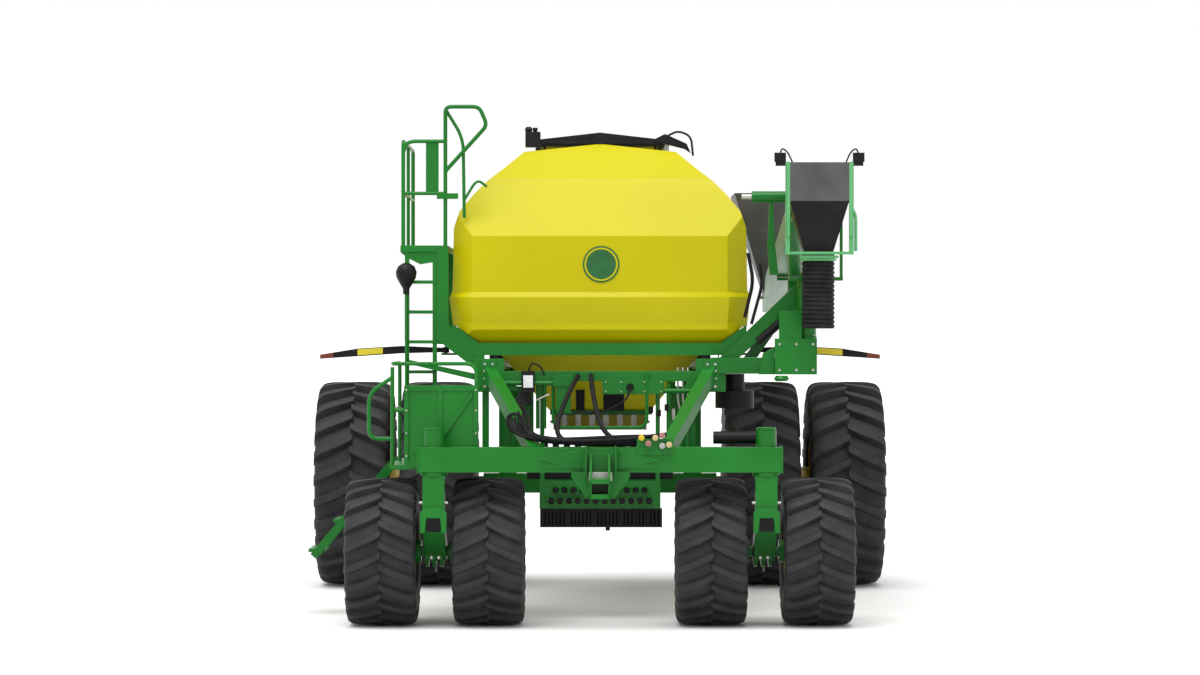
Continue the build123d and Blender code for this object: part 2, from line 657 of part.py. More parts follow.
# ---- Conveyor ----
HEAD_Y = FRONT_AXLE_Y + 100
MAST_Y = FRONT_AXLE_Y + 400
TILT_Z = HEAD_Z - 150
SPAN = TAIL_Y - 500 - HEAD_Y
SLOPE = math.radians(CONVEYOR_SLOPE)
CONVEYOR_LENGTH = SPAN / math.cos(SLOPE)


def sloped(shape):
    """Puts a shape made along +Y from the origin onto the conveyor's sloping centre line."""
    return Pos(CONVEYOR_X, HEAD_Y, HEAD_Z) * Rot(-CONVEYOR_SLOPE, 0, 0) * shape


def conveyor_z(y):
    """Height of the conveyor's centre line at y."""
    return HEAD_Z - (y - HEAD_Y) * math.tan(SLOPE)


REST_Y = REAR_AXLE_Y - REAR_TYRE_R - 308


def conveyor_base(rails, cradle, braces):
    """Outrigger and mast post at the front, and the transport rest that the conveyor lies on."""
    arm = square_bar((RAIL_OUT - 60, RAIL_FRONT + 60, 2290), (MAST_X, MAST_Y, 2290), 140)
    arm += rod((MAST_X, MAST_Y, 2220), (MAST_X, MAST_Y, 2560), 90)
    arm += rod((MAST_X, MAST_Y, 2560), (MAST_X, MAST_Y, 3040), MAST_R)
    arm &= block((RAIL_OUT, 3000), (-9000, 9000), (0, 9000))
    half = CONVEYOR_H / 2 / math.cos(SLOPE)
    top = conveyor_z(REST_Y + 40) - half - 3
    rest = block((RAIL_OUT, CONVEYOR_X + 60), (REST_Y - 60, REST_Y + 60), (2180, 2300))
    rest += block((CONVEYOR_X - 60, CONVEYOR_X + 60), (REST_Y - 60, REST_Y + 60), (2300, top - 30))
    rest += block((CONVEYOR_X - 170, CONVEYOR_X + 170), (REST_Y - 40, REST_Y + 40), (top - 30, top))
    return arm - rails - cradle - braces, rest


def swing_arm():
    """Sleeve on the mast post with a table and two yoke plates that carry the tilt pins."""
    arm = rod((MAST_X, MAST_Y, 2562), (MAST_X, MAST_Y, 3080), 85)
    outer = CONVEYOR_HALF + 40
    x0, x1 = CONVEYOR_X - outer, CONVEYOR_X + outer
    arm += block((x0, x1), (MAST_Y - 90, MAST_Y + 90), (3050, 3080))
    for side in (-1, 1):
        inner = CONVEYOR_X + side * (CONVEYOR_HALF + 20)
        arm += block((inner, CONVEYOR_X + side * outer), (MAST_Y - 60, MAST_Y + 60), (3080, TILT_Z + 60))
    arm -= rod((MAST_X, MAST_Y, 2500), (MAST_X, MAST_Y, 3040 + GAP), MAST_R + RUNNING)
    return arm - rod((x0 - 10, MAST_Y, TILT_Z), (x1 + 10, MAST_Y, TILT_Z), TILT_R + RUNNING)


def conveyor_frame():
    """Sloping trough tube with an inlet in its top, an outlet in its floor and two tilt pins."""
    half, wall, high = CONVEYOR_HALF, CONVEYOR_WALL, CONVEYOR_H / 2
    trough = block((-half, half), (0, CONVEYOR_LENGTH), (-high, high))
    trough -= block((-half + wall, half - wall), (-5, CONVEYOR_LENGTH + 5), (-high + wall, high - wall))
    trough -= block((-150, 150), (CONVEYOR_LENGTH - 380, CONVEYOR_LENGTH - 60), (0, high + 5))
    for y in (130, CONVEYOR_LENGTH - 130):
        trough -= rod((-half - 5, y, 0), (half + 5, y, 0), 20 + RUNNING)
    frame = sloped(trough)
    for side in (-1, 1):
        x = (CONVEYOR_X + side * (half - 4), CONVEYOR_X + side * (half + 50))
        frame += rod((x[0], MAST_Y, TILT_Z), (x[1], MAST_Y, TILT_Z), TILT_R)
    return frame


def conveyor_belt():
    """Closed belt round the head and tail rollers."""
    inner = CONVEYOR_ROLLER_R + 1

    def loop(radius, half):
        ends = [rod((-half, y, 0), (half, y, 0), radius) for y in (130, CONVEYOR_LENGTH - 130)]
        return ends[0] + ends[1] + block((-half, half), (130, CONVEYOR_LENGTH - 130), (-radius, radius))

    return sloped(loop(inner + BELT_T, 170) - loop(inner, 180))


def conveyor_roller(y):
    """Belt roller with its shaft."""
    roller = rod((-175, y, 0), (175, y, 0), CONVEYOR_ROLLER_R)
    return sloped(roller + rod((-CONVEYOR_HALF - 30, y, 0), (CONVEYOR_HALF + 30, y, 0), 20))


HOOD_Y = (HEAD_Y - 340, HEAD_Y + 140)


def spout_form(inset):
    """Outer or inner form of the hood: a box over a four-sided taper."""
    middle = (HOOD_Y[0] + HOOD_Y[1]) / 2
    deep = (HOOD_Y[1] - HOOD_Y[0]) / 2
    crease = HEAD_Z - 60
    over = 2 if inset else 0
    box = block(
        (CONVEYOR_X - HOOD_HALF + inset, CONVEYOR_X + HOOD_HALF - inset),
        (HOOD_Y[0] + inset, HOOD_Y[1] - inset),
        (crease, HEAD_Z + 280 - inset),
    )
    top = Pos(CONVEYOR_X, middle, crease) * Rectangle(2 * (HOOD_HALF - inset), 2 * (deep - inset))
    foot = Pos(CONVEYOR_X, middle, HEAD_Z - 510 - over) * Rectangle(2 * (125 - inset), 2 * (125 - inset))
    return box + loft([foot, top])


def spout_hood(frame):
    """Hood over the conveyor's head that turns the grain down, cut to fit the trough."""
    hood = spout_form(0) - spout_form(6)
    way = block((-CONVEYOR_HALF, CONVEYOR_HALF), (0, 400), (-CONVEYOR_H / 2, CONVEYOR_H / 2))
    hood -= sloped(way)
    pin_way = block((-CONVEYOR_HALF - 40, CONVEYOR_HALF + 40), (100, 160), (-30, 30))
    return hood - sloped(pin_way) - frame


def spout_frame():
    """Two posts and a crossbar beside and below the hood."""
    z = (HEAD_Z - 530, HEAD_Z + 280)
    y = (HOOD_Y[0] + 20, HOOD_Y[0] + 60)
    out = HOOD_HALF + 40
    posts = None
    for side in (-1, 1):
        post = block((CONVEYOR_X + side * HOOD_HALF, CONVEYOR_X + side * out), y, z)
        posts = post if posts is None else posts + post
    front = (HOOD_Y[0] + 20, HOOD_Y[0] + 30)
    return posts + block((CONVEYOR_X - out, CONVEYOR_X + out), front, (z[0], z[0] + 25))


def spout_sock():
    """Hanging sleeve below the hood, open through."""
    middle = (HOOD_Y[0] + HOOD_Y[1]) / 2
    top = HEAD_Z - 510
    ring = rod((CONVEYOR_X, middle, SOCK_BOTTOM), (CONVEYOR_X, middle, top), SOCK_R)
    return ring - rod((CONVEYOR_X, middle, SOCK_BOTTOM - 5), (CONVEYOR_X, middle, top + 5), SOCK_R - 22)


def hopper_wall(way, along):
    """One sloping wall of the hopper: way is -1 or 1, along is the axis it faces."""
    wall = 8
    top_y = TAIL_Y - 625
    levels = [
        (CONVEYOR_X, TAIL_Y - 720, conveyor_z(TAIL_Y - 700), 195, 210),
        (CONVEYOR_X + 20, top_y, HEAD_Z + 250, 540, 625),
    ]
    slices = []
    for x, y, z, half_x, half_y in levels:
        if along == "x":
            slices.append(Pos(x + way * (half_x - wall / 2), y, z) * Rectangle(wall, 2 * half_y - 2 * wall))
        else:
            slices.append(Pos(x, y + way * (half_y - wall / 2), z) * Rectangle(2 * half_x, wall))
    return loft(slices)


def intake_hopper():
    """Four walls over the conveyor's tail, open at the top and to the belt."""
    trough = sloped(
        block((-CONVEYOR_HALF, CONVEYOR_HALF), (0, CONVEYOR_LENGTH), (-CONVEYOR_H / 2, CONVEYOR_H / 2))
    )
    return [hopper_wall(way, along) - trough for along in ("x", "y") for way in (-1, 1)]


# ---- Wheels and casters ----
def caster_leg(side):
    """Swivel leg with its kingpin, trailing axle and end collars."""
    x, top = side * CASTER_X, BEAM_Z - GAP
    half = 100
    leg = prism_yz(
        [
            (BEAM_Y - half, top - 30), (BEAM_Y + half, top - 30), (BEAM_Y + half, top - 380),
            (FRONT_AXLE_Y + half, FRONT_TYRE_R + 90), (FRONT_AXLE_Y + half, FRONT_TYRE_R - 80),
            (FRONT_AXLE_Y - 60, FRONT_TYRE_R - 80), (BEAM_Y - half, FRONT_TYRE_R + 230),
        ],
        x - LEG_HALF,
        x + LEG_HALF,
    )
    cap = BEAM_TOP + SLEEVE_RISE + GAP
    leg += rod((x, BEAM_Y, top - 30), (x, BEAM_Y, top), 120)
    leg += rod((x, BEAM_Y, top - 30), (x, BEAM_Y, cap), KINGPIN_R)
    leg += rod((x, BEAM_Y, cap), (x, BEAM_Y, cap + 25), 85)
    middle = (FRONT_AXLE_Y, FRONT_TYRE_R)
    end = FRONT_DUAL_HALF + 60 + GAP
    leg += rod((x - end - 14, *middle), (x + end + 14, *middle), FRONT_AXLE_R)
    for way in (-1, 1):
        leg += rod((x + way * end, *middle), (x + way * (end + 14), *middle), 70)
    return leg


def tyre(x, y, radius, width, rim):
    """Hollow tyre whose beads sit on the rim."""
    half, bead, wall, rise = width / 2, width * 0.43, radius * 0.036, radius - rim
    outline = [
        (-bead, rim), (-half, rim + rise * 0.36), (-half, rim + rise * 0.62), (-half * 0.93, radius * 0.965),
        (-half * 0.62, radius), (half * 0.62, radius), (half * 0.93, radius * 0.965),
        (half, rim + rise * 0.62), (half, rim + rise * 0.36), (bead, rim), (bead - wall, rim),
        (half - wall, rim + rise * 0.4), (half * 0.9 - wall, radius - 1.6 * wall),
        (-half * 0.9 + wall, radius - 1.6 * wall), (-half + wall, rim + rise * 0.4), (-bead + wall, rim),
    ]
    return turned([(x + a, r) for a, r in outline], y, radius)


def front_rim(x, way):
    """Front rim with its disc and a hub that reaches back to the leg."""
    half, r, bore = FRONT_TYRE_W * 0.43, FRONT_RIM_R, FRONT_AXLE_R + RUNNING
    outline = [
        (-half, r - 12), (-half, r), (half, r), (half, r - 12), (20, r - 12), (20, 100), (60, 100),
        (60, bore), (-340, bore), (-340, 100), (0, 100), (0, r - 12),
    ]
    return turned([(x + way * a, radius) for a, radius in outline], FRONT_AXLE_Y, FRONT_TYRE_R)


def rear_rims(side):
    """Both rear rims of one side on their long hub."""
    half, r = REAR_TYRE_W * 0.43, REAR_RIM_R
    start, end = REAR_INNER_X - 120, REAR_OUTER_X + 110
    bore = REAR_AXLE_R + RUNNING
    seat, hollow = 150, REAR_HUB_R - 25
    hub = [
        (start, bore), (start, REAR_HUB_R), (end, REAR_HUB_R), (end, bore),
        (end - seat, bore), (end - seat, hollow), (start + seat, hollow), (start + seat, bore),
    ]
    wheel = turned([(side * a, b) for a, b in hub], REAR_AXLE_Y, REAR_TYRE_R)
    for x in (REAR_INNER_X, REAR_OUTER_X):
        rim = [
            (-half, r - 14), (-half, r), (half, r), (half, r - 14), (18, r - 14),
            (18, REAR_HUB_R - 5), (0, REAR_HUB_R - 5), (0, r - 14),
        ]
        wheel += turned([(side * (x + a), b) for a, b in rim], REAR_AXLE_Y, REAR_TYRE_R)
    return wheel


# ---- Markers, hoses and small parts ----
def marker_arm(side):
    """Bowed marker arm that turns on the cradle's upright pin."""
    y, z = TANK_FRONT + 250, CRADLE_Z + 22
    arm = rod((side * 1400, y, z), (side * 1400, y, z + 50), 32)
    top = [(1400, 45), (1800, 62), (2200, 38), (2540, -17)]
    bottom = [(2540, -55), (2200, -35), (1800, -6), (1400, 5)]
    outline = [(side * x, z + rise) for x, rise in top + bottom]
    arm += prism_xz(outline, y - 22, y + 22)
    return arm - rod((side * 1400, y, z - 10), (side * 1400, y, z + 80), 14 + RUNNING)


def route_radii(points):
    """Largest tangent arc at each inner point of a route."""
    radii = []
    for before, here, after in zip(points, points[1:], points[2:]):
        run_in, run_out = Vector(*here) - Vector(*before), Vector(*after) - Vector(*here)
        turn = math.radians(run_in.get_angle(run_out))
        radii.append(0.45 * min(run_in.length, run_out.length) / math.tan(turn / 2))
    return radii


def hose(name, points):
    """A hose along straight runs joined by tangent arcs."""
    radii = route_radii(points)
    path = FilletPolyline(*points, radius=radii)
    section = Plane(origin=points[0], z_dir=Vector(*points[1]) - Vector(*points[0])) * Circle(HOSE_R)
    tube = sweep(section, path)
    ratio = tube.volume / (math.pi * HOSE_R**2 * path.length)
    print(name, "length", round(path.length), "least radius", round(min(radii)), "ratio", round(ratio, 4))
    return tube


def hose_route(points):
    """Places a route of (x, distance ahead of the crossmember, height above the beam's top), drawn
    for HOSE_SPAN and HOSE_DROP, on the real crossmember and beam."""
    ahead = (BEAM_Y - RAIL_FRONT) / HOSE_SPAN
    rise = (CROSS_Z + CROSS_H / 2 - BEAM_TOP) / HOSE_DROP
    return [(x, RAIL_FRONT + y * ahead, BEAM_TOP + z * rise) for x, y, z in points]


HOSE_UPPER = hose_route([
    (-200, 0, 609), (-200, 170, 609), (-232, 345, 551), (-295, 510, 426), (-350, 665, 286), (-385, 820, 162),
    (-350, 960, 72), (-230, 1025, 34), (-65, 1020, 25), (110, 1010, 25), (290, 1025, 28), (430, 1042, 35),
])
HOSE_LOWER = hose_route([
    (-80, 0, 609), (-80, 170, 609), (-72, 345, 526), (-50, 510, 391), (-15, 665, 246), (45, 800, 118),
    (145, 885, 52), (270, 920, 34), (385, 928, 36),
])


def hose_coupler(points):
    """Stepped coupler on a hose's end."""
    end, before = Vector(*points[-1]), Vector(*points[-2])
    way = (end - before).normalized()
    coupler = rod(tuple(end), tuple(end + way * 50), 32)
    return coupler + rod(tuple(end + way * 50), tuple(end + way * 95), 25)


def hose_guard():
    """Bent guard tube that hangs from the front crossmember."""
    y, top, low = RAIL_FRONT - 16, CROSS_Z + 60, 1730
    guard = railing([(-420, y, top), (-420, y, low), (420, y, low), (420, y, top)], 16)
    return guard


def tool_box():
    """Small box on the front crossmember."""
    box = block((-396, -263), (RAIL_FRONT - 80, RAIL_FRONT), (1860, CROSS_Z + 40))
    return box - block((-391, -268), (RAIL_FRONT - 75, RAIL_FRONT - 5), (1865, CROSS_Z + 35))


def build():
    """Makes and writes every sub-part."""
    save("front_crossbeam", front_crossbeam())
    save("hitch_clevis", hitch_clevis())
    rails = save("frame_rails", *frame_rails())
    save("frame_crossmembers", *frame_crossmembers())
    braces = save("front_braces", *front_braces())
    save("rear_axle", rear_axle())
    cradle = save("tank_cradle", tank_cradle())
    save("rubber_mounts", *rubber_mounts())
    names = ("front", "middle", "rear")
    tanks = [tank(n) for n in range(3)]
    for n, name in enumerate(names):
        save(f"tank_{name}", tanks[n])
        save(f"lid_{name}", *lid(n))
        save(f"meter_roller_{name}", meter_roller(n))
    save("lid_hinges", *lid_hinges(tanks))
    save("meter_housings", *[meter_housing(n) for n in range(3)])
    save("outlet_plate", *outlet_plate())
    save("tube_rack", tube_rack())
    save("fan_housing", fan_housing())
    save("fan_impeller", fan_impeller())
    save("upper_platform", upper_platform())
    save("upper_guard_rail", upper_guard_rail())
    save("ladder", ladder())
    save("lower_platform", lower_platform())
    save("lower_guard_rail", lower_guard_rail())
    save("folding_stairs", folding_stairs())
    save("conveyor_base", *conveyor_base(rails, cradle, braces))
    save("swing_arm", swing_arm())
    frame = save("conveyor_frame", conveyor_frame())
    save("conveyor_belt", conveyor_belt())
    save("head_roller", conveyor_roller(130))
    save("tail_roller", conveyor_roller(CONVEYOR_LENGTH - 130))
    save("spout_hood", spout_hood(frame))
    save("spout_frame", spout_frame())
    save("spout_sock", spout_sock())
    save("intake_hopper", *intake_hopper())
    for side, name in ((-1, "left"), (1, "right")):
        save(f"marker_arm_{name}", marker_arm(side))
        save(f"caster_leg_{name}", caster_leg(side))
        for way, place in ((side, "outer"), (-side, "inner")):
            x = side * CASTER_X + way * FRONT_DUAL_HALF
            rubber = tyre(x, FRONT_AXLE_Y, FRONT_TYRE_R, FRONT_TYRE_W, FRONT_RIM_R)
            save(f"front_tyre_{name}_{place}", rubber)
            save(f"front_rim_{name}_{place}", front_rim(x, way))
        pair = [
            tyre(side * x, REAR_AXLE_Y, REAR_TYRE_R, REAR_TYRE_W, REAR_RIM_R)
            for x in (REAR_INNER_X, REAR_OUTER_X)
        ]
        save(f"rear_tyres_{name}", *pair)
        save(f"rear_rims_{name}", rear_rims(side))
    save("hose_upper", hose("hose_upper", HOSE_UPPER))
    save("hose_lower", hose("hose_lower", HOSE_LOWER))
    save("hose_couplers", hose_coupler(HOSE_UPPER), hose_coupler(HOSE_LOWER))
    save("hose_guard", hose_guard())
    save("tool_box", tool_box())


build()
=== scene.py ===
import json
import math

import bmesh
import bpy
import numpy as np
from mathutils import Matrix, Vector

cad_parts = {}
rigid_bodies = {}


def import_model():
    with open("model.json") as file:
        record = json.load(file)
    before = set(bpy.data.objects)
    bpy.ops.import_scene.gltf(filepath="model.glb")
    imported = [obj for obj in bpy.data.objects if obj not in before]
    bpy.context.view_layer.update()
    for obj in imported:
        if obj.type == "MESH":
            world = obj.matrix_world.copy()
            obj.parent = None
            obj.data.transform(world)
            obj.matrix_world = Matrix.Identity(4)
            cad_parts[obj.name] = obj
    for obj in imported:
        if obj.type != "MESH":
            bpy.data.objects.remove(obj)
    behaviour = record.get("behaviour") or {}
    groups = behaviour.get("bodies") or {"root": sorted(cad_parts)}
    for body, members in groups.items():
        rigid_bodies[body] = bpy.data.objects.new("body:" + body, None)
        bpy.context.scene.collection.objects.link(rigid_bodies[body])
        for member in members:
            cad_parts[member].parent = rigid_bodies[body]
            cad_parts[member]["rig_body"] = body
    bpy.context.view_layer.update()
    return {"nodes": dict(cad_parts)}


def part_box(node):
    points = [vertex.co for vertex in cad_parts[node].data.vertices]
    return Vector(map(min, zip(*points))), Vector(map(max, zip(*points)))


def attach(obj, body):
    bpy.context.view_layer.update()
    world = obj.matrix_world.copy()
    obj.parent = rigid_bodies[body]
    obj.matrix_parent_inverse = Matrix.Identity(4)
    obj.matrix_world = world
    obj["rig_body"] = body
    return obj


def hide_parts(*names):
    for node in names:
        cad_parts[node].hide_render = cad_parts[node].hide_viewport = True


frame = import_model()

# The camera stands level in front of the cart, in line with its middle, about 32 m ahead of the
# front axle and at chest height, so the cart is seen almost without perspective.
front_axle_y = (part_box("front_tyre_left_outer")[0].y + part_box("front_tyre_left_outer")[1].y) / 2
camera_data = bpy.data.cameras.new("camera")
camera_data.lens = 110.3
camera_data.sensor_width = 36.0
camera_data.clip_end = 5000.0
camera = bpy.data.objects.new("camera", camera_data)
camera.location = (0.0, front_axle_y - 32.53, 2.54)
camera.rotation_euler = (math.radians(90), 0, 0)
bpy.context.scene.collection.objects.link(camera)
bpy.context.scene.camera = camera


def srgb(red, green, blue):
    """Colour of 0 to 255 steps as the linear values a shader takes."""
    steps = np.array([red, green, blue]) / 255
    linear = np.where(steps <= 0.04045, steps / 12.92, ((steps + 0.055) / 1.055) ** 2.4)
    return (*linear.tolist(), 1.0)


def finish(name, dark, light, rough, grain, bump, coat=0.0, metal=0.0, specular=0.22):
    """Surface whose colour and roughness drift between two shades over grain-sized patches, with
    a fine bump: patches come from soft noise and the bump from noise six times finer."""
    material = bpy.data.materials.new(name)
    material.use_nodes = True
    nodes, links = material.node_tree.nodes, material.node_tree.links
    shader = nodes["Principled BSDF"]
    shader.inputs["Metallic"].default_value = metal
    shader.inputs["Coat Weight"].default_value = coat
    shader.inputs["Coat Roughness"].default_value = 0.12
    shader.inputs["Specular IOR Level"].default_value = specular
    place = nodes.new("ShaderNodeTexCoord")
    patches = nodes.new("ShaderNodeTexNoise")
    patches.inputs["Scale"].default_value = grain
    patches.inputs["Detail"].default_value = 6
    shade = nodes.new("ShaderNodeValToRGB")
    shade.color_ramp.elements[0].position = 0.32
    shade.color_ramp.elements[1].position = 0.68
    shade.color_ramp.elements[0].color = dark
    shade.color_ramp.elements[1].color = light
    gloss = nodes.new("ShaderNodeMapRange")
    gloss.inputs["To Min"].default_value = rough * 0.85
    gloss.inputs["To Max"].default_value = rough * 1.2
    fine = nodes.new("ShaderNodeTexNoise")
    fine.inputs["Scale"].default_value = grain * 24
    fine.inputs["Detail"].default_value = 3
    relief = nodes.new("ShaderNodeBump")
    relief.inputs["Strength"].default_value = bump
    relief.inputs["Distance"].default_value = 0.002
    links.new(place.outputs["Object"], patches.inputs["Vector"])
    links.new(place.outputs["Object"], fine.inputs["Vector"])
    links.new(patches.outputs["Fac"], shade.inputs["Fac"])
    links.new(shade.outputs["Color"], shader.inputs["Base Color"])
    links.new(patches.outputs["Fac"], gloss.inputs["Value"])
    links.new(gloss.outputs["Result"], shader.inputs["Roughness"])
    links.new(fine.outputs["Fac"], relief.inputs["Height"])
    links.new(relief.outputs["Normal"], shader.inputs["Normal"])
    return material


# Two sleeved hose bundles leave the front crossmember, come down inside the braces and lie along the
# top of the cross beam to their couplers. Each is a black woven sleeve over rubber hoses.
sleeve_black = finish("woven_sleeve", srgb(10, 10, 11), srgb(32, 31, 34), 0.55, 30, 0.7, specular=0.15)
coupler_steel = finish("zinc_coupler", srgb(150, 148, 135), srgb(200, 198, 188), 0.35, 20, 0.15, metal=0.9)
HOSE_DIAMETER = 0.044
upper_points = [
    (-0.200, -2.520, 2.193), (-0.200, -2.690, 2.193), (-0.232, -2.865, 2.135), (-0.295, -3.030, 2.010),
    (-0.350, -3.185, 1.870), (-0.385, -3.340, 1.746), (-0.350, -3.480, 1.656), (-0.230, -3.545, 1.618),
    (-0.065, -3.540, 1.609), (0.110, -3.530, 1.609), (0.290, -3.545, 1.612), (0.430, -3.562, 1.619),
]
lower_points = [
    (-0.080, -2.520, 2.193), (-0.080, -2.690, 2.193), (-0.072, -2.865, 2.110), (-0.050, -3.030, 1.975),
    (-0.015, -3.185, 1.830), (0.045, -3.320, 1.702), (0.145, -3.405, 1.636), (0.270, -3.440, 1.618),
    (0.385, -3.448, 1.620),
]


def sleeved_hose(name, points, node):
    """A hose on one smooth curve of degree two through its route."""
    data = bpy.data.curves.new(name, "CURVE")
    data.dimensions = "3D"
    data.bevel_depth = HOSE_DIAMETER / 2
    data.bevel_resolution = 6
    data.resolution_u = 16
    data.use_fill_caps = True
    spline = data.splines.new("NURBS")
    spline.points.add(len(points) - 1)
    spline.points.foreach_set("co", np.array([(*point, 1) for point in points]).ravel())
    spline.order_u = 3
    spline.use_endpoint_u = True
    data.materials.append(sleeve_black)
    piece = bpy.data.objects.new(name, data)
    bpy.context.scene.collection.objects.link(piece)
    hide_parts(node)
    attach(piece, "cart_frame")


sleeved_hose("hose_upper_sleeve", upper_points, "hose_upper")
sleeved_hose("hose_lower_sleeve", lower_points, "hose_lower")


# The stage, which isn't part of the cart: a plain pale floor that runs far back, a white studio
# world, and one broad sun high in front that lightens the tank's shoulders.
floor_mesh = bpy.data.meshes.new("floor")
FLOOR_REACH, FLOOR_FRONT = 1500.0, 60.0
floor_mesh.from_pydata(
    [(-FLOOR_REACH, -FLOOR_FRONT, 0), (FLOOR_REACH, -FLOOR_FRONT, 0), (FLOOR_REACH, 2 * FLOOR_REACH, 0),
     (-FLOOR_REACH, 2 * FLOOR_REACH, 0)],
    [], [(0, 1, 2, 3)],
)
floor_mesh.materials.append(finish("floor_white", srgb(222, 222, 222), srgb(227, 227, 227), 0.8, 0.2, 0.0))
floor = bpy.data.objects.new("floor", floor_mesh)
bpy.context.scene.collection.objects.link(floor)
world = bpy.data.worlds.new("studio")
world.use_nodes = True
world.node_tree.nodes["Background"].inputs["Color"].default_value = (1, 1, 1, 1)
world.node_tree.nodes["Background"].inputs["Strength"].default_value = 1.0
bpy.context.scene.world = world
bpy.context.scene.view_settings.view_transform = "Standard"
sun_data = bpy.data.lights.new("overhead", "SUN")
sun_data.energy = 2.8
sun_data.angle = math.radians(50)
sun = bpy.data.objects.new("overhead", sun_data)
sun.rotation_euler = (math.radians(18), math.radians(-8), 0)
bpy.context.scene.collection.objects.link(sun)


# Frame, running gear and walkways: square tube, plate and castings, welded and bolted together in
# glossy green enamel. Bent and cut edges are a few millimetres round.
def shaded(name, mesh, material, smooth=40.0):
    """The mesh as a piece in place: one material, smooth faces, and edges past smooth degrees sharp."""
    mesh.materials.clear()
    mesh.materials.append(material)
    mesh.polygons.foreach_set("use_smooth", np.ones(len(mesh.polygons), bool))
    mesh.set_sharp_from_angle(angle=math.radians(smooth))
    piece = bpy.data.objects.new(name, mesh)
    bpy.context.scene.collection.objects.link(piece)
    return piece


def rounded(node, material, edge, steps=2, least=25.0):
    """The piece with its flat faces joined again, and each edge sharper than least degrees rounded
    to the width edge."""
    source = frame["nodes"][node]
    mesh = bpy.data.meshes.new(node + "_form")
    cage = bmesh.new()
    cage.from_mesh(source.data)
    bmesh.ops.remove_doubles(cage, verts=cage.verts, dist=2e-5)
    bmesh.ops.dissolve_limit(cage, angle_limit=math.radians(1.0), verts=cage.verts, edges=cage.edges)
    cage.to_mesh(mesh)
    cage.free()
    piece = shaded(node + "_finished", mesh, material)
    bevel = piece.modifiers.new("edge", "BEVEL")
    bevel.width = edge
    bevel.segments = steps
    bevel.limit_method = "ANGLE"
    bevel.angle_limit = math.radians(least)
    bevel.harden_normals = True
    bevel.use_clamp_overlap = True
    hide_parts(node)
    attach(piece, source["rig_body"])
    return piece


green_enamel = finish("green_enamel", srgb(10, 98, 22), srgb(17, 112, 30), 0.33, 1.4, 0.06, coat=0.1)
green_steel = (
    "front_crossbeam", "hitch_clevis", "frame_rails", "frame_crossmembers", "front_braces", "rear_axle",
    "tank_cradle", "outlet_plate", "upper_platform", "ladder", "lower_platform", "folding_stairs",
    "conveyor_base", "swing_arm", "conveyor_frame", "caster_leg_left", "caster_leg_right",
    "tool_box",
)
for node in green_steel:
    rounded(node, green_enamel, 0.004)


# Tanks: seed and fertiliser shells rotomoulded in yellow polyethylene, with broad soft edges and a
# glossy skin. They rest in the cradle's saddles, one behind the other.
yellow_poly = finish("yellow_poly", srgb(178, 169, 3), srgb(184, 175, 5), 0.3, 0.8, 0.05, specular=0.14)
for place in ("front", "middle", "rear"):
    rounded(f"tank_{place}", yellow_poly, 0.040, 4, 6.0)


# Lids and bright parts: the lids are pressed black plastic panels on zinc-plated hinges. Meters,
# rollers, fan wheel and hose couplers are zinc-plated steel too.
lid_black = finish("lid_black", srgb(14, 14, 15), srgb(26, 26, 28), 0.42, 5, 0.25, specular=0.2)
zinc = finish("zinc_plate", srgb(150, 150, 142), srgb(186, 186, 178), 0.34, 12, 0.1, metal=0.85)
for place in ("front", "middle", "rear"):
    rounded(f"lid_{place}", lid_black, 0.005)
for node in ("lid_hinges", "meter_housings", "meter_roller_front", "meter_roller_middle",
             "meter_roller_rear", "fan_impeller", "head_roller", "tail_roller"):
    rounded(node, zinc, 0.002)
couplers = frame["nodes"]["hose_couplers"].data.materials
couplers.clear()
couplers.append(coupler_steel)


# Dark fittings: fan, tube rack and marker arms in satin black paint; spout hood and intake hopper in
# grey plastic, the hood's lower part black as painted shade on its down-facing side; rubber mounts and
# conveyor belt in black rubber.
satin_black = finish("satin_black", srgb(15, 15, 16), srgb(26, 26, 27), 0.42, 6, 0.15, specular=0.15)
hood_grey = finish("hood_grey", srgb(70, 69, 72), srgb(86, 85, 88), 0.5, 4, 0.2)
black_rubber = finish("black_rubber", srgb(22, 22, 22), srgb(38, 38, 38), 0.7, 8, 0.45, specular=0.15)
for node in ("fan_housing", "marker_arm_left", "marker_arm_right"):
    rounded(node, satin_black, 0.003)
rack = frame["nodes"]["tube_rack"].data.materials
rack.clear()
rack.append(satin_black)
rounded("intake_hopper", hood_grey, 0.004)
HOOD_SHADE_TOP = 3.76
hood = rounded("spout_hood", hood_grey, 0.006)
# Hood faces below this height take satin black: painted shade on the hood's lower, down-facing part.
hood.data.materials.append(satin_black)
middles = np.empty(len(hood.data.polygons) * 3)
hood.data.polygons.foreach_get("center", middles)
hood.data.polygons.foreach_set("material_index", (middles.reshape(-1, 3)[:, 2] < HOOD_SHADE_TOP).astype(int))
for node in ("rubber_mounts", "conveyor_belt"):
    rounded(node, black_rubber, 0.004)


# Tyres and rims: moulded rubber carcasses whose slanted lugs meet in a chevron at the crown, on
# pressed yellow rims. The front rims' hub faces are green, and every pair turns on its own hub.
tyre_rubber = finish("tyre_rubber", srgb(42, 42, 43), srgb(54, 54, 55), 0.58, 7, 0.35, specular=0.15)
rim_yellow = finish("rim_yellow", srgb(206, 178, 22), srgb(222, 194, 32), 0.34, 3, 0.06, coat=0.3)


def grid_faces(rows, columns, closed_rows, closed_columns):
    """Quads over a grid of points, wrapped round on the sides that close."""
    a = np.arange(rows if closed_rows else rows - 1)[:, None]
    b = np.arange(columns if closed_columns else columns - 1)[None, :]
    right, down = (b + 1) % columns, (a + 1) % rows
    quads = np.stack([a * columns + b, a * columns + right, down * columns + right, down * columns + b], -1)
    return quads.reshape(-1, 4)


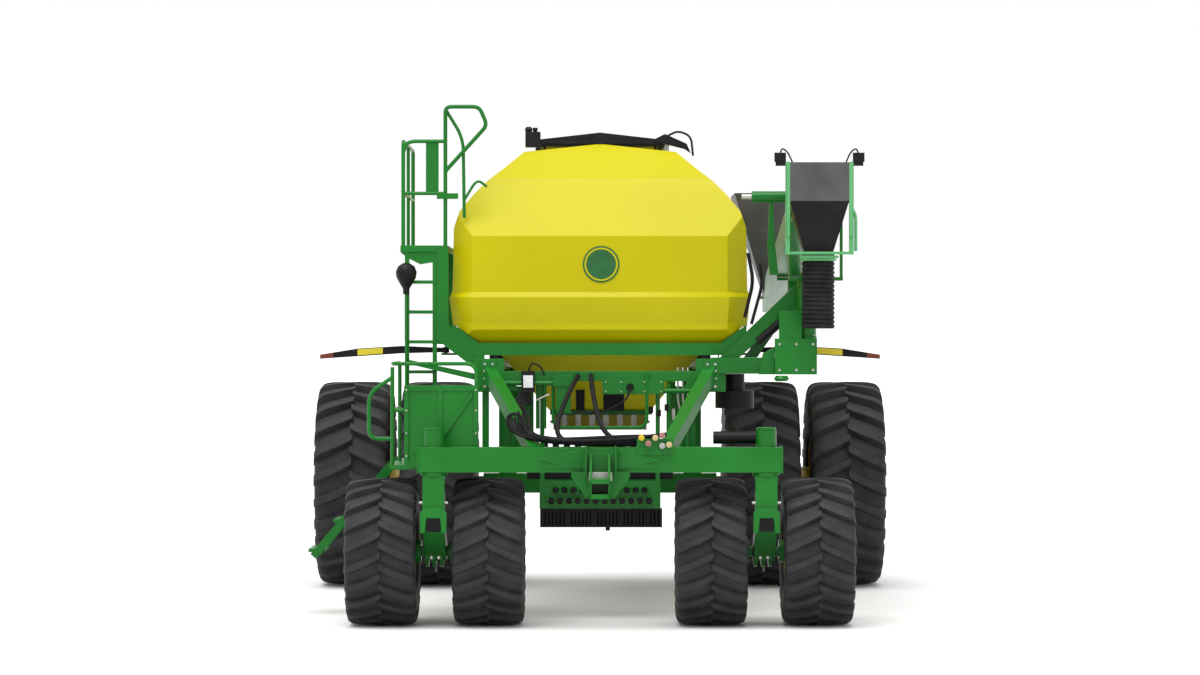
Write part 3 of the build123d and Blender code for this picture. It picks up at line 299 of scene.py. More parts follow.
def solid_from(name, points, quads, material, smooth=45.0):
    """A mesh from arrays of points and quads, with its normals turned outwards."""
    mesh = bpy.data.meshes.new(name)
    mesh.from_pydata(points.reshape(-1, 3).tolist(), [], quads.tolist())
    cage = bmesh.new()
    cage.from_mesh(mesh)
    bmesh.ops.remove_doubles(cage, verts=cage.verts, dist=1e-6)
    bmesh.ops.recalc_face_normals(cage, faces=cage.faces)
    cage.to_mesh(mesh)
    cage.free()
    return shaded(name, mesh, material, smooth)


def curve_through(points, count):
    """Points along a smooth curve: the outline's corners are cut twice at a quarter of each side."""
    line = np.array(points, float)
    for _ in range(3):
        first = 0.75 * line[:-1] + 0.25 * line[1:]
        second = 0.25 * line[:-1] + 0.75 * line[1:]
        inner = np.stack([first, second], 1).reshape(-1, line.shape[1])
        line = np.vstack([line[:1], inner, line[-1:]])
    travel = np.r_[0, np.cumsum(np.linalg.norm(np.diff(line, axis=0), axis=1))]
    spots = np.linspace(0, travel[-1], count)
    return np.stack([np.interp(spots, travel, line[:, axis]) for axis in range(line.shape[1])], 1)


AROUND, OUTLINE_POINTS, LUG_STEPS = 144, 56, 14
CARCASS_WALL = 0.028


def tyre(name, node, body, x, y, radius, width, rim, lugs, lug_height, sweep):
    """Carcass: a closed outline of (across, radius) turned about the axle. Lugs: a four-sided bar
    carried from the crown to the side wall while its angle falls back by sweep."""
    rise, tread = radius - rim, radius - lug_height
    side = [
        (0.43, rim), (0.455, rim + 0.05 * rise), (0.480, rim + 0.3 * rise), (0.478, rim + 0.55 * rise),
        (0.462, rim + 0.78 * rise), (0.425, tread - 0.02 * radius), (0.30, tread),
        (0.0, tread + 0.003 * radius),
    ]
    outer = [(a * width, r) for a, r in side]
    outer = outer + [(-a, r) for a, r in reversed(outer[:-1])]
    outer = curve_through(outer, OUTLINE_POINTS)
    inner = outer[::-1] * [0.9, 1.0] - [0, CARCASS_WALL * radius]
    inner[[0, -1], 1] = rim
    outline = np.vstack([outer, inner])
    turns = np.linspace(0, 2 * np.pi, AROUND, endpoint=False)[:, None]
    across, far = outline[None, :, 0], outline[None, :, 1]
    ring = np.stack([x + across + 0 * turns, y - far * np.cos(turns), radius + far * np.sin(turns)], -1)
    points, quads = [ring.reshape(-1, 3)], [grid_faces(AROUND, len(outline), True, True)]
    run = np.linspace(0, 1, LUG_STEPS)
    top = curve_through(
        [(0.0, radius), (0.2, radius), (0.34, radius - 0.004 * radius), (0.435, radius - 0.018 * radius),
         (0.484, radius - 0.06 * radius), (0.495, rim + 0.64 * rise)], LUG_STEPS)
    foot = curve_through(
        [(0.0, tread - 0.008), (0.2, tread - 0.008), (0.32, tread - 0.012), (0.40, tread - 0.03 * radius),
         (0.440, tread - 0.08 * radius), (0.462, rim + 0.60 * rise)], LUG_STEPS)
    pitch = 2 * np.pi / lugs
    half_top, half_foot = 0.125 * pitch * (1 + 0.3 * run), 0.21 * pitch * (1 + 0.3 * run)
    for way in (-1, 1):
        start = np.arange(lugs)[:, None] * pitch + (0.25 + 0.25 * way) * pitch
        middle = start - sweep * run[None, :] ** 0.85
        corners = []
        edges = ((foot, half_foot, 1), (top, half_top, 1), (top, half_top, -1), (foot, half_foot, -1))
        for spot, half, sign in edges:
            angle = middle + sign * half
            sideways = way * (spot[:, 0] * width - 0.012 * width)
            far = np.broadcast_to(spot[:, 1], angle.shape)
            sideways = np.broadcast_to(sideways, angle.shape)
            place = (x + sideways, y - far * np.cos(angle), radius + far * np.sin(angle))
            corners.append(np.stack(place, -1))
        bars = np.stack(corners, 2)
        bar = grid_faces(LUG_STEPS, 4, False, True)
        last = 4 * (LUG_STEPS - 1)
        bar = np.vstack([bar, [[0, 1, 2, 3]], [[last + 3, last + 2, last + 1, last]]])
        offsets = np.arange(lugs)[:, None, None] * LUG_STEPS * 4
        quads.append((bar[None] + offsets).reshape(-1, 4) + sum(len(group) for group in points))
        points.append(bars.reshape(-1, 3))
    piece = solid_from(name, np.vstack(points), np.vstack(quads), tyre_rubber, 32.0)
    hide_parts(node)
    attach(piece, body)


FRONT_RIM, FRONT_LUGS, FRONT_LUG_HEIGHT, FRONT_SWEEP = 0.336, 21, 0.050, 0.25
REAR_RIM, REAR_LUGS, REAR_LUG_HEIGHT, REAR_SWEEP = 0.483, 25, 0.072, 0.21
REAR_TYRE_WIDTH, HUB_FACE = 0.79, 0.2
for side in ("left", "right"):
    for place in ("outer", "inner"):
        low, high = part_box(f"front_tyre_{side}_{place}")
        body = f"front_wheel_{side}_{place}"
        tyre(
            f"front_tread_{side}_{place}", f"front_tyre_{side}_{place}", body, (low.x + high.x) / 2,
            (low.y + high.y) / 2, high.z / 2, high.x - low.x, FRONT_RIM, FRONT_LUGS, FRONT_LUG_HEIGHT,
            FRONT_SWEEP,
        )
        rim = rounded(f"front_rim_{side}_{place}", rim_yellow, 0.004).data
        rim.materials.append(green_enamel)
        middles = np.empty(len(rim.polygons) * 3)
        rim.polygons.foreach_get("center", middles)
        middles = middles.reshape(-1, 3)
        off_axle = np.hypot(middles[:, 1] - front_axle_y, middles[:, 2] - high.z / 2)
        rim.polygons.foreach_set("material_index", (off_axle < HUB_FACE).astype(np.int32))
    low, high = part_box(f"rear_tyres_{side}")
    for place, x in (("low", low.x + REAR_TYRE_WIDTH / 2), ("high", high.x - REAR_TYRE_WIDTH / 2)):
        tyre(
            f"rear_tread_{side}_{place}", f"rear_tyres_{side}", f"rear_wheels_{side}", x,
            (low.y + high.y) / 2, high.z / 2, REAR_TYRE_WIDTH, REAR_RIM, REAR_LUGS, REAR_LUG_HEIGHT,
            REAR_SWEEP,
        )
    rounded(f"rear_rims_{side}", rim_yellow, 0.005)


# Spout sock: a ribbed black rubber bellows that hangs from a clamp ring under the hood and leads the
# grain down. Each rib is a half wave, pinched in at both sides.
low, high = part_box("spout_sock")
sock_middle = ((low.x + high.x) / 2, (low.y + high.y) / 2)
ribs, sock_radius, RIB_DEPTH, SOCK_WALL, SOCK_SIDES = 17, (high.x - low.x) / 2, 0.012, 0.014, 96
drop = np.linspace(0, 1, ribs * 10 + 1)
bulge = sock_radius - RIB_DEPTH * (1 - np.abs(np.sin(np.pi * ribs * drop)) ** 0.6)
around = np.linspace(0, 2 * np.pi, SOCK_SIDES, endpoint=False)[None, :]
height = high.z - (high.z - low.z) * drop
wall_out = np.stack([bulge[:, None], height[:, None]], -1).reshape(-1, 2)
wall_in = wall_out[::-1] - [SOCK_WALL, 0]
loop = np.vstack([wall_out, wall_in])
ring = np.stack(
    [sock_middle[0] + loop[:, :1] * np.cos(around), sock_middle[1] + loop[:, :1] * np.sin(around),
     loop[:, 1:] + 0 * around], -1)
sock = solid_from("sock_bellows", ring, grid_faces(len(loop), SOCK_SIDES, True, True), black_rubber, 60.0)
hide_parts("spout_sock")
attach(sock, "conveyor")


# Walkway guard: round steel tube bent in one piece and welded, in green enamel, with a flat panel
# and a tall grab loop over the tank's shoulder. It stands on the upper platform.
def swept(points, radius, bend=0.06, sides=12):
    """Round tube along a line of points: each corner becomes a quadratic curve that starts and ends
    bend away from it, and each ring lies square to the line's direction, turned from the one
    steady direction that the line follows least."""
    corners = np.array(points, float)
    line = [corners[:1]]
    for before, here, after in zip(corners, corners[1:], corners[2:]):
        runs = [before - here, after - here]
        reach = [min(bend, 0.45 * np.linalg.norm(run)) for run in runs]
        ends = [here + run / np.linalg.norm(run) * far for run, far in zip(runs, reach)]
        t = np.linspace(0, 1, 7)[:, None]
        line.append((1 - t) ** 2 * ends[0] + 2 * t * (1 - t) * here + t**2 * ends[1])
    line = np.vstack([*line, corners[-1:]])
    way = np.gradient(line, axis=0)
    way /= np.linalg.norm(way, axis=1)[:, None]
    steady = np.array([(0, 1, 0), (1, 0, 0), (0, 0, 1), (0.58, 0.58, 0.58), (0.58, -0.58, 0.58),
                       (-0.58, 0.58, 0.58), (0.58, 0.58, -0.58)])
    steady = steady[np.abs(way @ steady.T).max(axis=0).argmin()]
    side = np.cross(way, steady)
    side /= np.linalg.norm(side, axis=1)[:, None]
    angle = np.linspace(0, 2 * np.pi, sides, endpoint=False)[None, :, None]
    square = np.cross(way, side)
    rings = line[:, None] + radius * (np.cos(angle) * side[:, None] + np.sin(angle) * square[:, None])
    last = (len(line) - 1) * sides
    return rings.reshape(-1, 3), [grid_faces(len(line), sides, False, True), np.arange(sides) + [[0], [last]]]


def plate(outline, front, back):
    """Flat outline of (x, z) carried along y from front to back."""
    flat = np.array(outline, float)
    count = len(flat)
    ends = [np.c_[flat[:, 0], np.full(count, y), flat[:, 1]] for y in (front, back)]
    return np.vstack(ends), [grid_faces(2, count, False, True), np.arange(2 * count).reshape(2, count)]


def brick(x, y, z):
    """Box between the pairs x, y and z."""
    return plate([(x[0], z[0]), (x[1], z[0]), (x[1], z[1]), (x[0], z[1])], *y)


def lathe(profile, middle, axis="z", sides=24, ring=False):
    """Profile of (along, radius) turned about an axis through middle; a ring's profile closes on
    itself, and any other is capped at both ends."""
    along, radius = np.array(profile, float).T
    angle = np.linspace(0, 2 * np.pi, sides, endpoint=False)
    rings = np.stack([
        radius[:, None] * np.cos(angle), radius[:, None] * np.sin(angle), along[:, None] + 0 * angle], -1)
    order = {"x": (2, 0, 1), "y": (0, 2, 1), "z": (0, 1, 2)}[axis]
    last = (len(profile) - 1) * sides
    walls = [grid_faces(len(profile), sides, ring, True)]
    caps = [] if ring else [np.arange(sides) + [[0], [last]]]
    return rings.reshape(-1, 3)[:, order] + np.array(middle), walls + caps


def gather(name, parts, material, body="cart_frame", edge=0.0015, node=None):
    """One object from several closed forms, each its points and blocks of faces with as many
    corners: every form's faces count on from the points before it, and the edges are rounded."""
    starts = np.cumsum([0] + [len(form) for form, _ in parts])
    faces = []
    for start, (_, blocks) in zip(starts, parts):
        for block in blocks:
            faces += (block + start).tolist()
    mesh = bpy.data.meshes.new(name)
    mesh.from_pydata(np.vstack([form for form, _ in parts]).tolist(), [], faces)
    cage = bmesh.new()
    cage.from_mesh(mesh)
    bmesh.ops.recalc_face_normals(cage, faces=cage.faces)
    cage.to_mesh(mesh)
    cage.free()
    piece = shaded(name, mesh, material)
    if edge:
        bevel = piece.modifiers.new("edge", "BEVEL")
        bevel.width = edge
        bevel.segments = 2
        bevel.limit_method = "ANGLE"
        bevel.angle_limit = math.radians(35)
    if node:
        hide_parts(node)
    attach(piece, body)
    return piece


GUARD_TUBE = 0.018
low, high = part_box("upper_guard_rail")
floor_z, top_z, loop_z = low.z, 4.310, high.z - GUARD_TUBE
outer, inner, near, far = low.x + GUARD_TUBE, -1.395, low.y + GUARD_TUBE, high.y - GUARD_TUBE
back = near + 0.02
guard = [
    swept([(outer, near, floor_z), (outer, near, top_z), (outer, far, top_z), (outer, far, floor_z)],
          GUARD_TUBE),
    swept([(outer, -1.545, floor_z), (outer, -1.545, top_z)], 0.016),
    swept([(outer, near, 3.84), (outer, far, 3.84)], 0.016),
    swept([(outer, near, 4.20), (outer + 0.03, near, top_z), (inner, near, top_z)], 0.017, 0.09),
    swept([(outer, near, 3.84), (inner, near, 3.84)], 0.016),
    swept([(inner, near, floor_z), (inner, near, loop_z), (-1.09, near, loop_z), (-1.018, near, 4.455),
           (-1.39, near, 4.045)], GUARD_TUBE, 0.055),
    swept([(inner, back, 4.60), (-1.235, back, 4.34), (-1.225, back, 3.62)], 0.015, 0.12),
    swept([(-1.225, back, 3.78), (-1.11, back, 3.97), (-1.02, back, 3.90)], 0.012, 0.08),
    plate([(-1.570, 3.84), (-1.455, 3.84), (-1.455, 4.31), (-1.570, 4.31)], near - 0.004, near + 0.004),
    brick((-1.47, -1.28), (near - 0.03, near + 0.03), (3.79, 3.84)),
]
gather("walkway_guard", guard, green_enamel, edge=0, node="upper_guard_rail")

# Landing guard: bent green tube with an outward grab bail, on the lower platform. Angle frame, braces
# and ladder treads beside it are flat plate, welded on.
low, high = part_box("lower_guard_rail")
floor_z, top_z, mid_z = low.z, high.z - GUARD_TUBE, 1.90
outer, inner, near, far = -1.825, high.x - GUARD_TUBE, low.y + GUARD_TUBE, high.y - GUARD_TUBE
bail = low.x + GUARD_TUBE
landing = [
    swept([(inner, near, floor_z), (inner, near, top_z), (outer, near, top_z), (outer, far, top_z),
           (outer, far, floor_z)], GUARD_TUBE, 0.10),
    swept([(outer, near, floor_z), (outer, near, top_z - 0.03)], GUARD_TUBE),
    swept([(inner, near, mid_z), (outer, near, mid_z), (outer, far, mid_z)], 0.017, 0.05),
    swept([(outer, near, 2.19), (bail, near, 2.05), (bail, near, 1.65), (outer, near, 1.65)],
          GUARD_TUBE, 0.09),
]
gather("landing_guard", landing, green_enamel, edge=0, node="lower_guard_rail")
panel = [
    *[brick((-1.72, -1.07), (-3.300, -3.291), rail) for rail in ((2.07, 2.12), (1.42, 1.46))],
    *[brick(post, (-3.302, -3.291), (1.42, 2.12)) for post in ((-1.72, -1.68), (-1.11, -1.07))],
    brick((-1.425, -1.385), (-3.300, -3.291), (1.46, 2.07)),
    plate([(-1.40, 1.62), (-1.12, 2.02), (-1.12, 2.07), (-1.43, 1.65)], -3.306, -3.291),
    brick((-1.66, -1.30), (-3.34, -3.305), (1.40, 1.50)),
    plate([(-1.72, 2.34), (-1.05, 2.20), (-1.05, 2.14), (-1.72, 2.30)], -2.50, -2.44),
    plate([(-1.47, 2.66), (-1.37, 2.66), (-1.04, 2.38), (-1.04, 2.27), (-1.14, 2.27), (-1.47, 2.52)],
          -2.455, -2.425),
    plate([(-1.80, 3.31), (-1.37, 3.31), (-1.37, 3.24), (-1.62, 3.20), (-1.74, 3.26)], -2.425, -2.415),
]
gather("walkway_braces", panel, green_enamel)
LOWEST_TREAD, HIGHEST_TREAD, TREAD_PITCH = 1.675, 3.2, 0.27
tread_heights = np.arange(LOWEST_TREAD, HIGHEST_TREAD, TREAD_PITCH).tolist()
treads = [brick((-1.74, -1.49), (-2.435, -2.385), (z, z + 0.03)) for z in tread_heights]
gather("ladder_treads", treads, green_enamel)

# Grain scoop: a black moulded head, turned in outline, on a green tube handle. It stands in a clip
# beside the ladder.
head = [(0.0, 0.028), (0.05, 0.03), (0.09, 0.055), (0.15, 0.088), (0.20, 0.095), (0.25, 0.075), (0.28, 0.03)]
gather("scoop_head", [lathe(head, (-1.745, -2.47, 2.93))], satin_black, edge=0)
handle = swept([(-1.745, -2.47, 2.95), (-1.745, -2.47, 1.45)], 0.014)
gather("scoop_handle", [handle], green_enamel, edge=0)

# Tank dress: a shelf moulded into the front face, which bends back with the shell at both sides, and
# a plain round badge plate with a raised ring, glued on.
ridge_profile = np.array([(0, 2.955), (0.042, 2.905), (0.042, 2.893), (0.0, 2.64)])
front_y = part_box("tank_front")[0].y
bend_line = np.array([(-1.334, front_y + 0.175), (-1.15, front_y), (1.15, front_y), (1.334, front_y + 0.175)])
normal = np.array([(-0.73, -0.68), (-0.42, -0.99), (0.42, -0.99), (0.73, -0.68)])
skin = np.stack([
    np.c_[bend_line + normal * (out - 0.004), np.full(4, z)] for out, z in ridge_profile] + [
    np.c_[bend_line - normal * 0.008, np.full(4, z)] for z in (2.64, 2.955)])
count = len(skin)
shelf_faces = [grid_faces(count, 4, True, False), np.arange(count) * 4 + [[0], [3]]]
gather("tank_shelf", [(skin.reshape(-1, 3), shelf_faces)], yellow_poly, edge=0.004)
badge_green = finish("badge_green", srgb(20, 84, 34), srgb(28, 96, 42), 0.35, 9, 0.05, coat=0.4)
badge_middle = (0.01, front_y, 3.20)
disc = lathe([(-0.008, 0.165), (0.004, 0.165)], badge_middle, "y", 64)
gather("badge_disc", [disc], badge_green)
band = lathe([(-0.011, 0.135), (-0.011, 0.15), (-0.004, 0.15), (-0.004, 0.135)], badge_middle, "y", 64, True)
gather("badge_ring", [band], yellow_poly, edge=0)

# Lid fittings: a black plastic latch block with two knobs and a ribbed edge strip, which open with
# the lid, and a linkage plate with its cable, which stay on the tank beside the hinge.
fittings = [
    brick((-0.69, -0.55), (-1.62, -1.50), (4.30, 4.44)),
    brick((-0.56, 0.56), (-1.605, -1.585), (4.33, 4.356)),
    lathe([(0, 0.03), (0.03, 0.036), (0.05, 0.02)], (-0.66, -1.56, 4.44)),
    lathe([(0, 0.02), (0.04, 0.025)], (-0.60, -1.56, 4.44)),
    *[brick((x, x + 0.012), (-1.61, -1.60), (4.335, 4.36)) for x in np.arange(-0.5, 0.5, 0.08).tolist()],
]
gather("lid_fittings", fittings, lid_black, "lid_front_body")
hinge_side = [
    plate([(0.50, 4.37), (0.60, 4.42), (0.80, 4.33), (0.84, 4.24), (0.78, 4.28), (0.58, 4.33)],
          -1.635, -1.612),
    swept([(0.62, -1.624, 4.40), (0.72, -1.624, 4.45), (0.84, -1.624, 4.40), (0.86, -1.60, 4.22)],
          0.010, 0.06),
]
gather("lid_linkage", hinge_side, lid_black)

# Spout head: two finned work lights whose cables arch into the hood, a frame of green flat bar,
# and a clamp ring of the same steel over the sock, both in a paler green that is painted highlight. All of it
# swings with the conveyor.
lamps, LAMP_REACH = [], 0.345
fin_heights = np.arange(4.09, 4.16, 0.014).tolist()
for side in (-1, 1):
    x = sock_middle[0] + side * LAMP_REACH
    lamps += [brick((x - 0.05, x + 0.05), (-3.27, -3.20), (4.085, 4.165)),
              brick((x - 0.02 * side - 0.06, x - 0.02 * side + 0.06), (-3.26, -3.22), (4.05, 4.085)),
              swept([(x, -3.21, 4.16), (x - side * 0.02, -3.21, 4.21), (x - side * 0.07, -3.21, 4.17),
                     (x - side * 0.11, -3.21, 4.08)], 0.007, 0.03)]
    lamps += [brick((x - 0.046, x + 0.046), (-3.20, -3.185), (z, z + 0.006)) for z in fin_heights]
gather("spout_lamps", lamps, lid_black, "conveyor")
# A paler copy of the green enamel: painted highlight for lit green steel.
highlight_green = finish("highlight_green", srgb(78, 150, 92), srgb(92, 164, 106), 0.3, 2, 0.05, coat=0.2)
rounded("spout_frame", highlight_green, 0.003)
trim = [lathe([(0, 0.146), (0, 0.160), (0.035, 0.160), (0.035, 0.146)], (*sock_middle, 3.215), "z", 64, True),
        brick((1.76, 2.10), (-3.22, -3.20), (3.24, 3.262)),
        swept([(2.25, -3.24, 3.30), (2.25, -3.24, 3.62), (2.21, -3.24, 3.68)], 0.014),
        brick((1.64, 1.67), (-3.29, -3.27), (3.43, 4.08)), brick((2.19, 2.22), (-3.29, -3.27), (3.43, 4.08))]
gather("spout_trim", trim, highlight_green, "conveyor")

# Conveyor carriage: a tilt cylinder with a bright rod on the swing arm, and green plate struts with a
# boxed foot that carry the mast post. The swing cylinder and its pipes are black, on the frame.
carriage = [
    swept([(1.36, -2.62, 3.80), (1.67, -2.62, 3.80)], 0.052),
    plate([(1.52, 3.76), (1.55, 3.76), (1.57, 3.36), (1.60, 3.10), (1.52, 3.10), (1.50, 3.36)], -2.64, -2.60),
]
gather("tilt_cylinder", carriage, green_enamel, "swing")
rod = swept([(1.27, -2.62, 3.80), (1.36, -2.62, 3.80)], 0.026)
gather("tilt_rod", [rod], zinc, "swing")
struts = [
    plate([(1.02, 2.30), (1.12, 2.24), (1.86, 2.90), (1.80, 3.02), (1.72, 2.98)], -2.50, -2.40),
    plate([(1.30, 2.36), (1.42, 2.36), (1.60, 2.62), (1.54, 2.70)], -2.38, -2.34),
    brick((1.56, 1.935), (-2.80, -2.73), (2.21, 2.53)), brick((1.60, 1.80), (-2.79, -2.71), (2.53, 2.78)),
    plate([(1.42, 2.21), (1.56, 2.21), (1.56, 2.45), (1.46, 2.40)], -2.72, -2.60),
    lathe([(0, 0.05), (0.02, 0.07), (0.05, 0.05)], (1.62, -2.76, 2.15)),
    *[brick((x, x + 0.012), (-2.51, -2.50), (2.30, 2.40)) for x in (1.06, 1.10)],
]
gather("mast_struts", struts, green_enamel)
swing_parts = [
    swept([(1.42, -2.53, 2.50), (1.72, -2.53, 2.76)], 0.038),
    swept([(1.30, -2.53, 2.72), (1.38, -2.53, 3.05), (1.33, -2.53, 3.3)], 0.016, 0.1),
    swept([(1.36, -2.54, 2.66), (1.46, -2.54, 3.02), (1.44, -2.54, 3.2)], 0.014, 0.1),
]
gather("swing_cylinder", swing_parts, satin_black, edge=0)

# Hitch and brace plates: green gussets flare from the clevis into the beam, and bolted corner plates
# join the braces to the crossmember. The clevis rides on a zinc wear plate.
def bolts(name, spots, body="cart_frame", axis="y", radius=0.013, length=0.012):
    """Hexagon bolt heads, bright zinc, each standing on a surface at its spot."""
    heads = [lathe([(-length, radius), (0.0, radius)], spot, axis, 6) for spot in spots]
    gather(name, heads, zinc, body, edge=0)


hitch_plates = [
    plate([(-0.25, 1.37), (0.26, 1.37), (0.26, 1.33), (0.14, 1.16), (-0.13, 1.16), (-0.25, 1.33)],
          -3.69, -3.675),
    *[brick(cheek, (-3.76, -3.625), (1.33, 1.60)) for cheek in ((-0.128, -0.112), (0.128, 0.144))],
    plate([(-0.52, 1.40), (-0.13, 1.56), (-0.13, 1.40)], -3.634, -3.625),
    plate([(0.52, 1.40), (0.145, 1.56), (0.145, 1.40)], -3.634, -3.625),
    *[brick((end - 0.006, end + 0.006), (-3.632, -3.37), (1.358, 1.592)) for end in (-1.585, 1.585)],
]
gather("hitch_gussets", hitch_plates, green_enamel)
gather("hitch_wear_plate", [brick((-0.095, 0.105), (-3.80, -3.765), (1.30, 1.375))], zinc)
corner_plates = []
for side in (-1, 1):
    corner_plates += [brick((side * 0.93, side * 1.07), (-2.55, -2.538), (2.06, 2.34)),
                      plate([(side * 0.72, 2.06), (side * 0.93, 2.30), (side * 0.93, 2.06)], -2.546, -2.536)]
gather("corner_plates", corner_plates, green_enamel)
corner_rows, corner_steps = (-0.965, -1.035, 0.965, 1.035), (2.10, 2.17, 2.24, 2.30)
bolts("corner_bolts", [(x, -2.55, z) for x in corner_rows for z in corner_steps])
bolts("deck_bolts", [(x, -3.302, z) for x in (-1.70, -1.09) for z in (1.5, 1.7, 1.9, 2.08)], radius=0.009)
bolts("strut_bolts", [(x, -2.80, z) for x in (1.60, 1.75, 1.90) for z in (2.25, 2.48)])


# Caster fittings: zinc cross bolts through each leg, a forked green clamp with a black block in its opening
# as painted shade, and a ribbed hub clamp round the axle. They swivel with the leg; the black steer damper
# stays on the beam.
fork = [(-0.115, 0.84), (-0.115, 1.02), (-0.07, 1.06), (0.07, 1.06), (0.115, 1.02), (0.115, 0.84),
        (0.075, 0.84), (0.06, 0.97), (-0.06, 0.97), (-0.075, 0.84)]
for name in ("left", "right"):
    low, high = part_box(f"caster_leg_{name}")
    x, body = (low.x + high.x) / 2, f"caster_{name}"
    clamp = [lathe([(start, 0.07), (start + 0.008, 0.138), (start + 0.038, 0.138), (start + 0.046, 0.07)],
                   (x, -3.05, 0.65), "x", 32) for start in (-0.10, -0.035, 0.03)]
    clamp.append(plate(np.array(fork) + [x, 0], low.y - 0.012, low.y + 0.03))
    gather(f"caster_clamp_{name}", clamp, green_enamel, body)
    # Black block set in the fork's opening: painted shade where the recess lies in shadow.
    painted_recess_shade = brick((x - 0.06, x + 0.06), (low.y - 0.004, low.y + 0.02), (0.85, 0.97))
    gather(f"caster_recess_shade_{name}", [painted_recess_shade], satin_black, body)
    pins = [swept([(x - 0.125, low.y + 0.06, 1.10), (x + 0.125, low.y + 0.06, 1.10)], 0.014),
            lathe([(0, 0.012), (0.05, 0.008)], (x, -3.05, 0.47)),
            *[lathe([(-0.012, 0.016), (0.012, 0.016)], (x + over, -3.165, z), "y", 6)
              for over in (-0.035, 0.03) for z in (0.60, 0.65, 0.70)]]
    gather(f"caster_pins_{name}", pins, zinc, body, edge=0)
damper = swept([(0.99, -3.43, 1.665), (1.36, -3.43, 1.665)], 0.055)
gather("steer_damper", [damper], satin_black, edge=0)

# Air outlets: rubber hose ends fill the stubs of both rows, and the rack below holds a comb of black
# ribs that keeps the drill's hoses apart.
OUTLETS, OUTLET_PITCH = 12, 0.080
hose_end = [(0.0, 0.026), (0.01, 0.0295), (0.13, 0.0295)]
ends = []
for row, z in enumerate((1.070, 1.165)):
    across = (np.arange(OUTLETS - row) - (OUTLETS - 1 - row) / 2) * OUTLET_PITCH
    ends += [lathe(hose_end, (x, -2.503, z), "y", 16) for x in across.tolist()]
gather("outlet_hose_ends", ends, black_rubber, edge=0)
RIB_PITCH = 0.034
rib_places = np.arange(-0.52, 0.54, RIB_PITCH).tolist()
comb = [brick((x, x + RIB_PITCH / 2), (-2.468, -2.40), (0.85, 0.98)) for x in rib_places]
comb += [brick((-0.535, 0.555), (-2.40, -2.392), (0.83, 1.0)),
         lathe([(0, 0.02), (0.03, 0.02)], (0.07, -2.43, 0.80))]
gather("rack_comb", comb, satin_black, edge=0)

# Hose guard: one round green tube bent into a deep loop, which hangs from the front crossmember and
# keeps the hoses off the rack.
low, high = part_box("hose_guard")
tube = (high.y - low.y) / 2
left, right, front, foot = low.x + tube, high.x - tube, low.y + tube, low.z + tube
bends = [(left, front, high.z), (left, front, foot), (right, front, foot), (right, front, high.z)]
gather("hose_guard_tube", [swept(bends, tube, 0.09)], green_enamel, edge=0, node="hose_guard")

# Under-tank shields: a black pressed tray with air tubes standing in it, and green screens at both
# sides, all hung behind the front crossmember.
tube_places = np.arange(-0.60, 0.61, 0.10).tolist()
gather("air_tube_tray", [
    brick((-0.66, 0.66), (-2.37, -2.33), (1.26, 1.40)), brick((0.03, 0.22), (-1.95, -1.93), (1.87, 2.06)),
    brick((-0.22, -0.14), (-1.95, -1.93), (1.87, 2.06)), brick((-0.60, 0.60), (-2.36, -2.34), (1.40, 1.50)),
    *[swept([(x, -2.30, 1.26), (x, -2.30, 1.62)], 0.030) for x in tube_places],
], satin_black, edge=0)
shields = [brick((side * 0.60, side * 0.86), (-2.345, -2.335), (1.50, 2.10)) for side in (-1, 1)]
shields += [swept([(x, -2.36, 1.45), (x, -2.36, 2.14)], 0.022) for x in (-0.66, -0.78, 0.66, 0.78)]
gather("side_shields", shields, green_enamel)

# Front service group: work light, green connector panel with a black round socket, valves and bright
# tubes, all bolted to the front crossmember. Ribs facing the front meter are the yellow hopper outlets in a
# darker yellow, painted shade under the tank.
gather("work_light_case", [
    brick((-0.705, -0.585), (-2.60, -2.545), (2.05, 2.24)),
    brick((-0.665, -0.625), (-2.57, -2.53), (1.98, 2.05)),
    swept([(-0.645, -2.54, 2.22), (-0.62, -2.54, 2.32), (-0.53, -2.54, 2.28), (-0.50, -2.54, 2.20)], 0.008),
], lid_black)
lens_white = finish("lens_white", srgb(214, 216, 214), srgb(234, 236, 234), 0.2, 30, 0.1)
lens = brick((-0.688, -0.602), (-2.606, -2.599), (2.09, 2.20))
gather("work_light_lens", [lens], lens_white)
service = [
    brick((0.02, 0.58), (-2.545, -2.532), (2.03, 2.165)), brick((-0.42, -0.24), (-2.61, -2.60), (2.10, 2.20)),
    swept([(-0.96, -2.56, 2.13), (-0.42, -2.56, 2.13)], 0.022),
    swept([(0.58, -2.56, 2.06), (0.90, -2.56, 2.06)], 0.022),
    *[swept([(x, -2.49, 2.20), (x, -2.49, 1.72)], 0.018) for x in (-0.56, -0.50, 0.62)],
    brick((-0.48, 0.50), (-1.80, -1.72), (2.00, 2.04)), brick((-0.46, 0.48), (-1.76, -1.712), (1.83, 1.87)),
]
gather("service_panel", service, green_enamel)
bolts("panel_bolts", [(x, -2.545, z) for x in (0.05, 0.19, 0.40, 0.55) for z in (2.055, 2.14)], radius=0.008)
gather("round_socket", [
    lathe([(-0.03, 0.028), (0, 0.034), (0.012, 0.034)], (0.27, -2.555, 2.095), "y"),
    swept([(0.27, -2.58, 2.08), (0.24, -2.62, 1.98), (0.02, -2.60, 1.86), (-0.24, -2.55, 1.87)], 0.009, 0.12),
    *[lathe([(0, 0.02), (0.06, 0.02)], (x, -2.50, z)) for x, z in ((0.46, 1.86), (0.53, 1.83), (0.60, 1.88))],
], satin_black, edge=0)
tubes = [swept([(x, -2.49, 2.27), (x, -2.49, 1.95), (x + 0.05, -2.47, 1.82)], 0.010)
         for x in (0.70, 0.745, 0.79)]
tubes += [swept([(-0.575, -2.56, 1.975), (-0.455, -2.56, 2.03)], 0.009),
          lathe([(0, 0.018), (0.10, 0.018)], (0.66, -2.50, 1.80))]
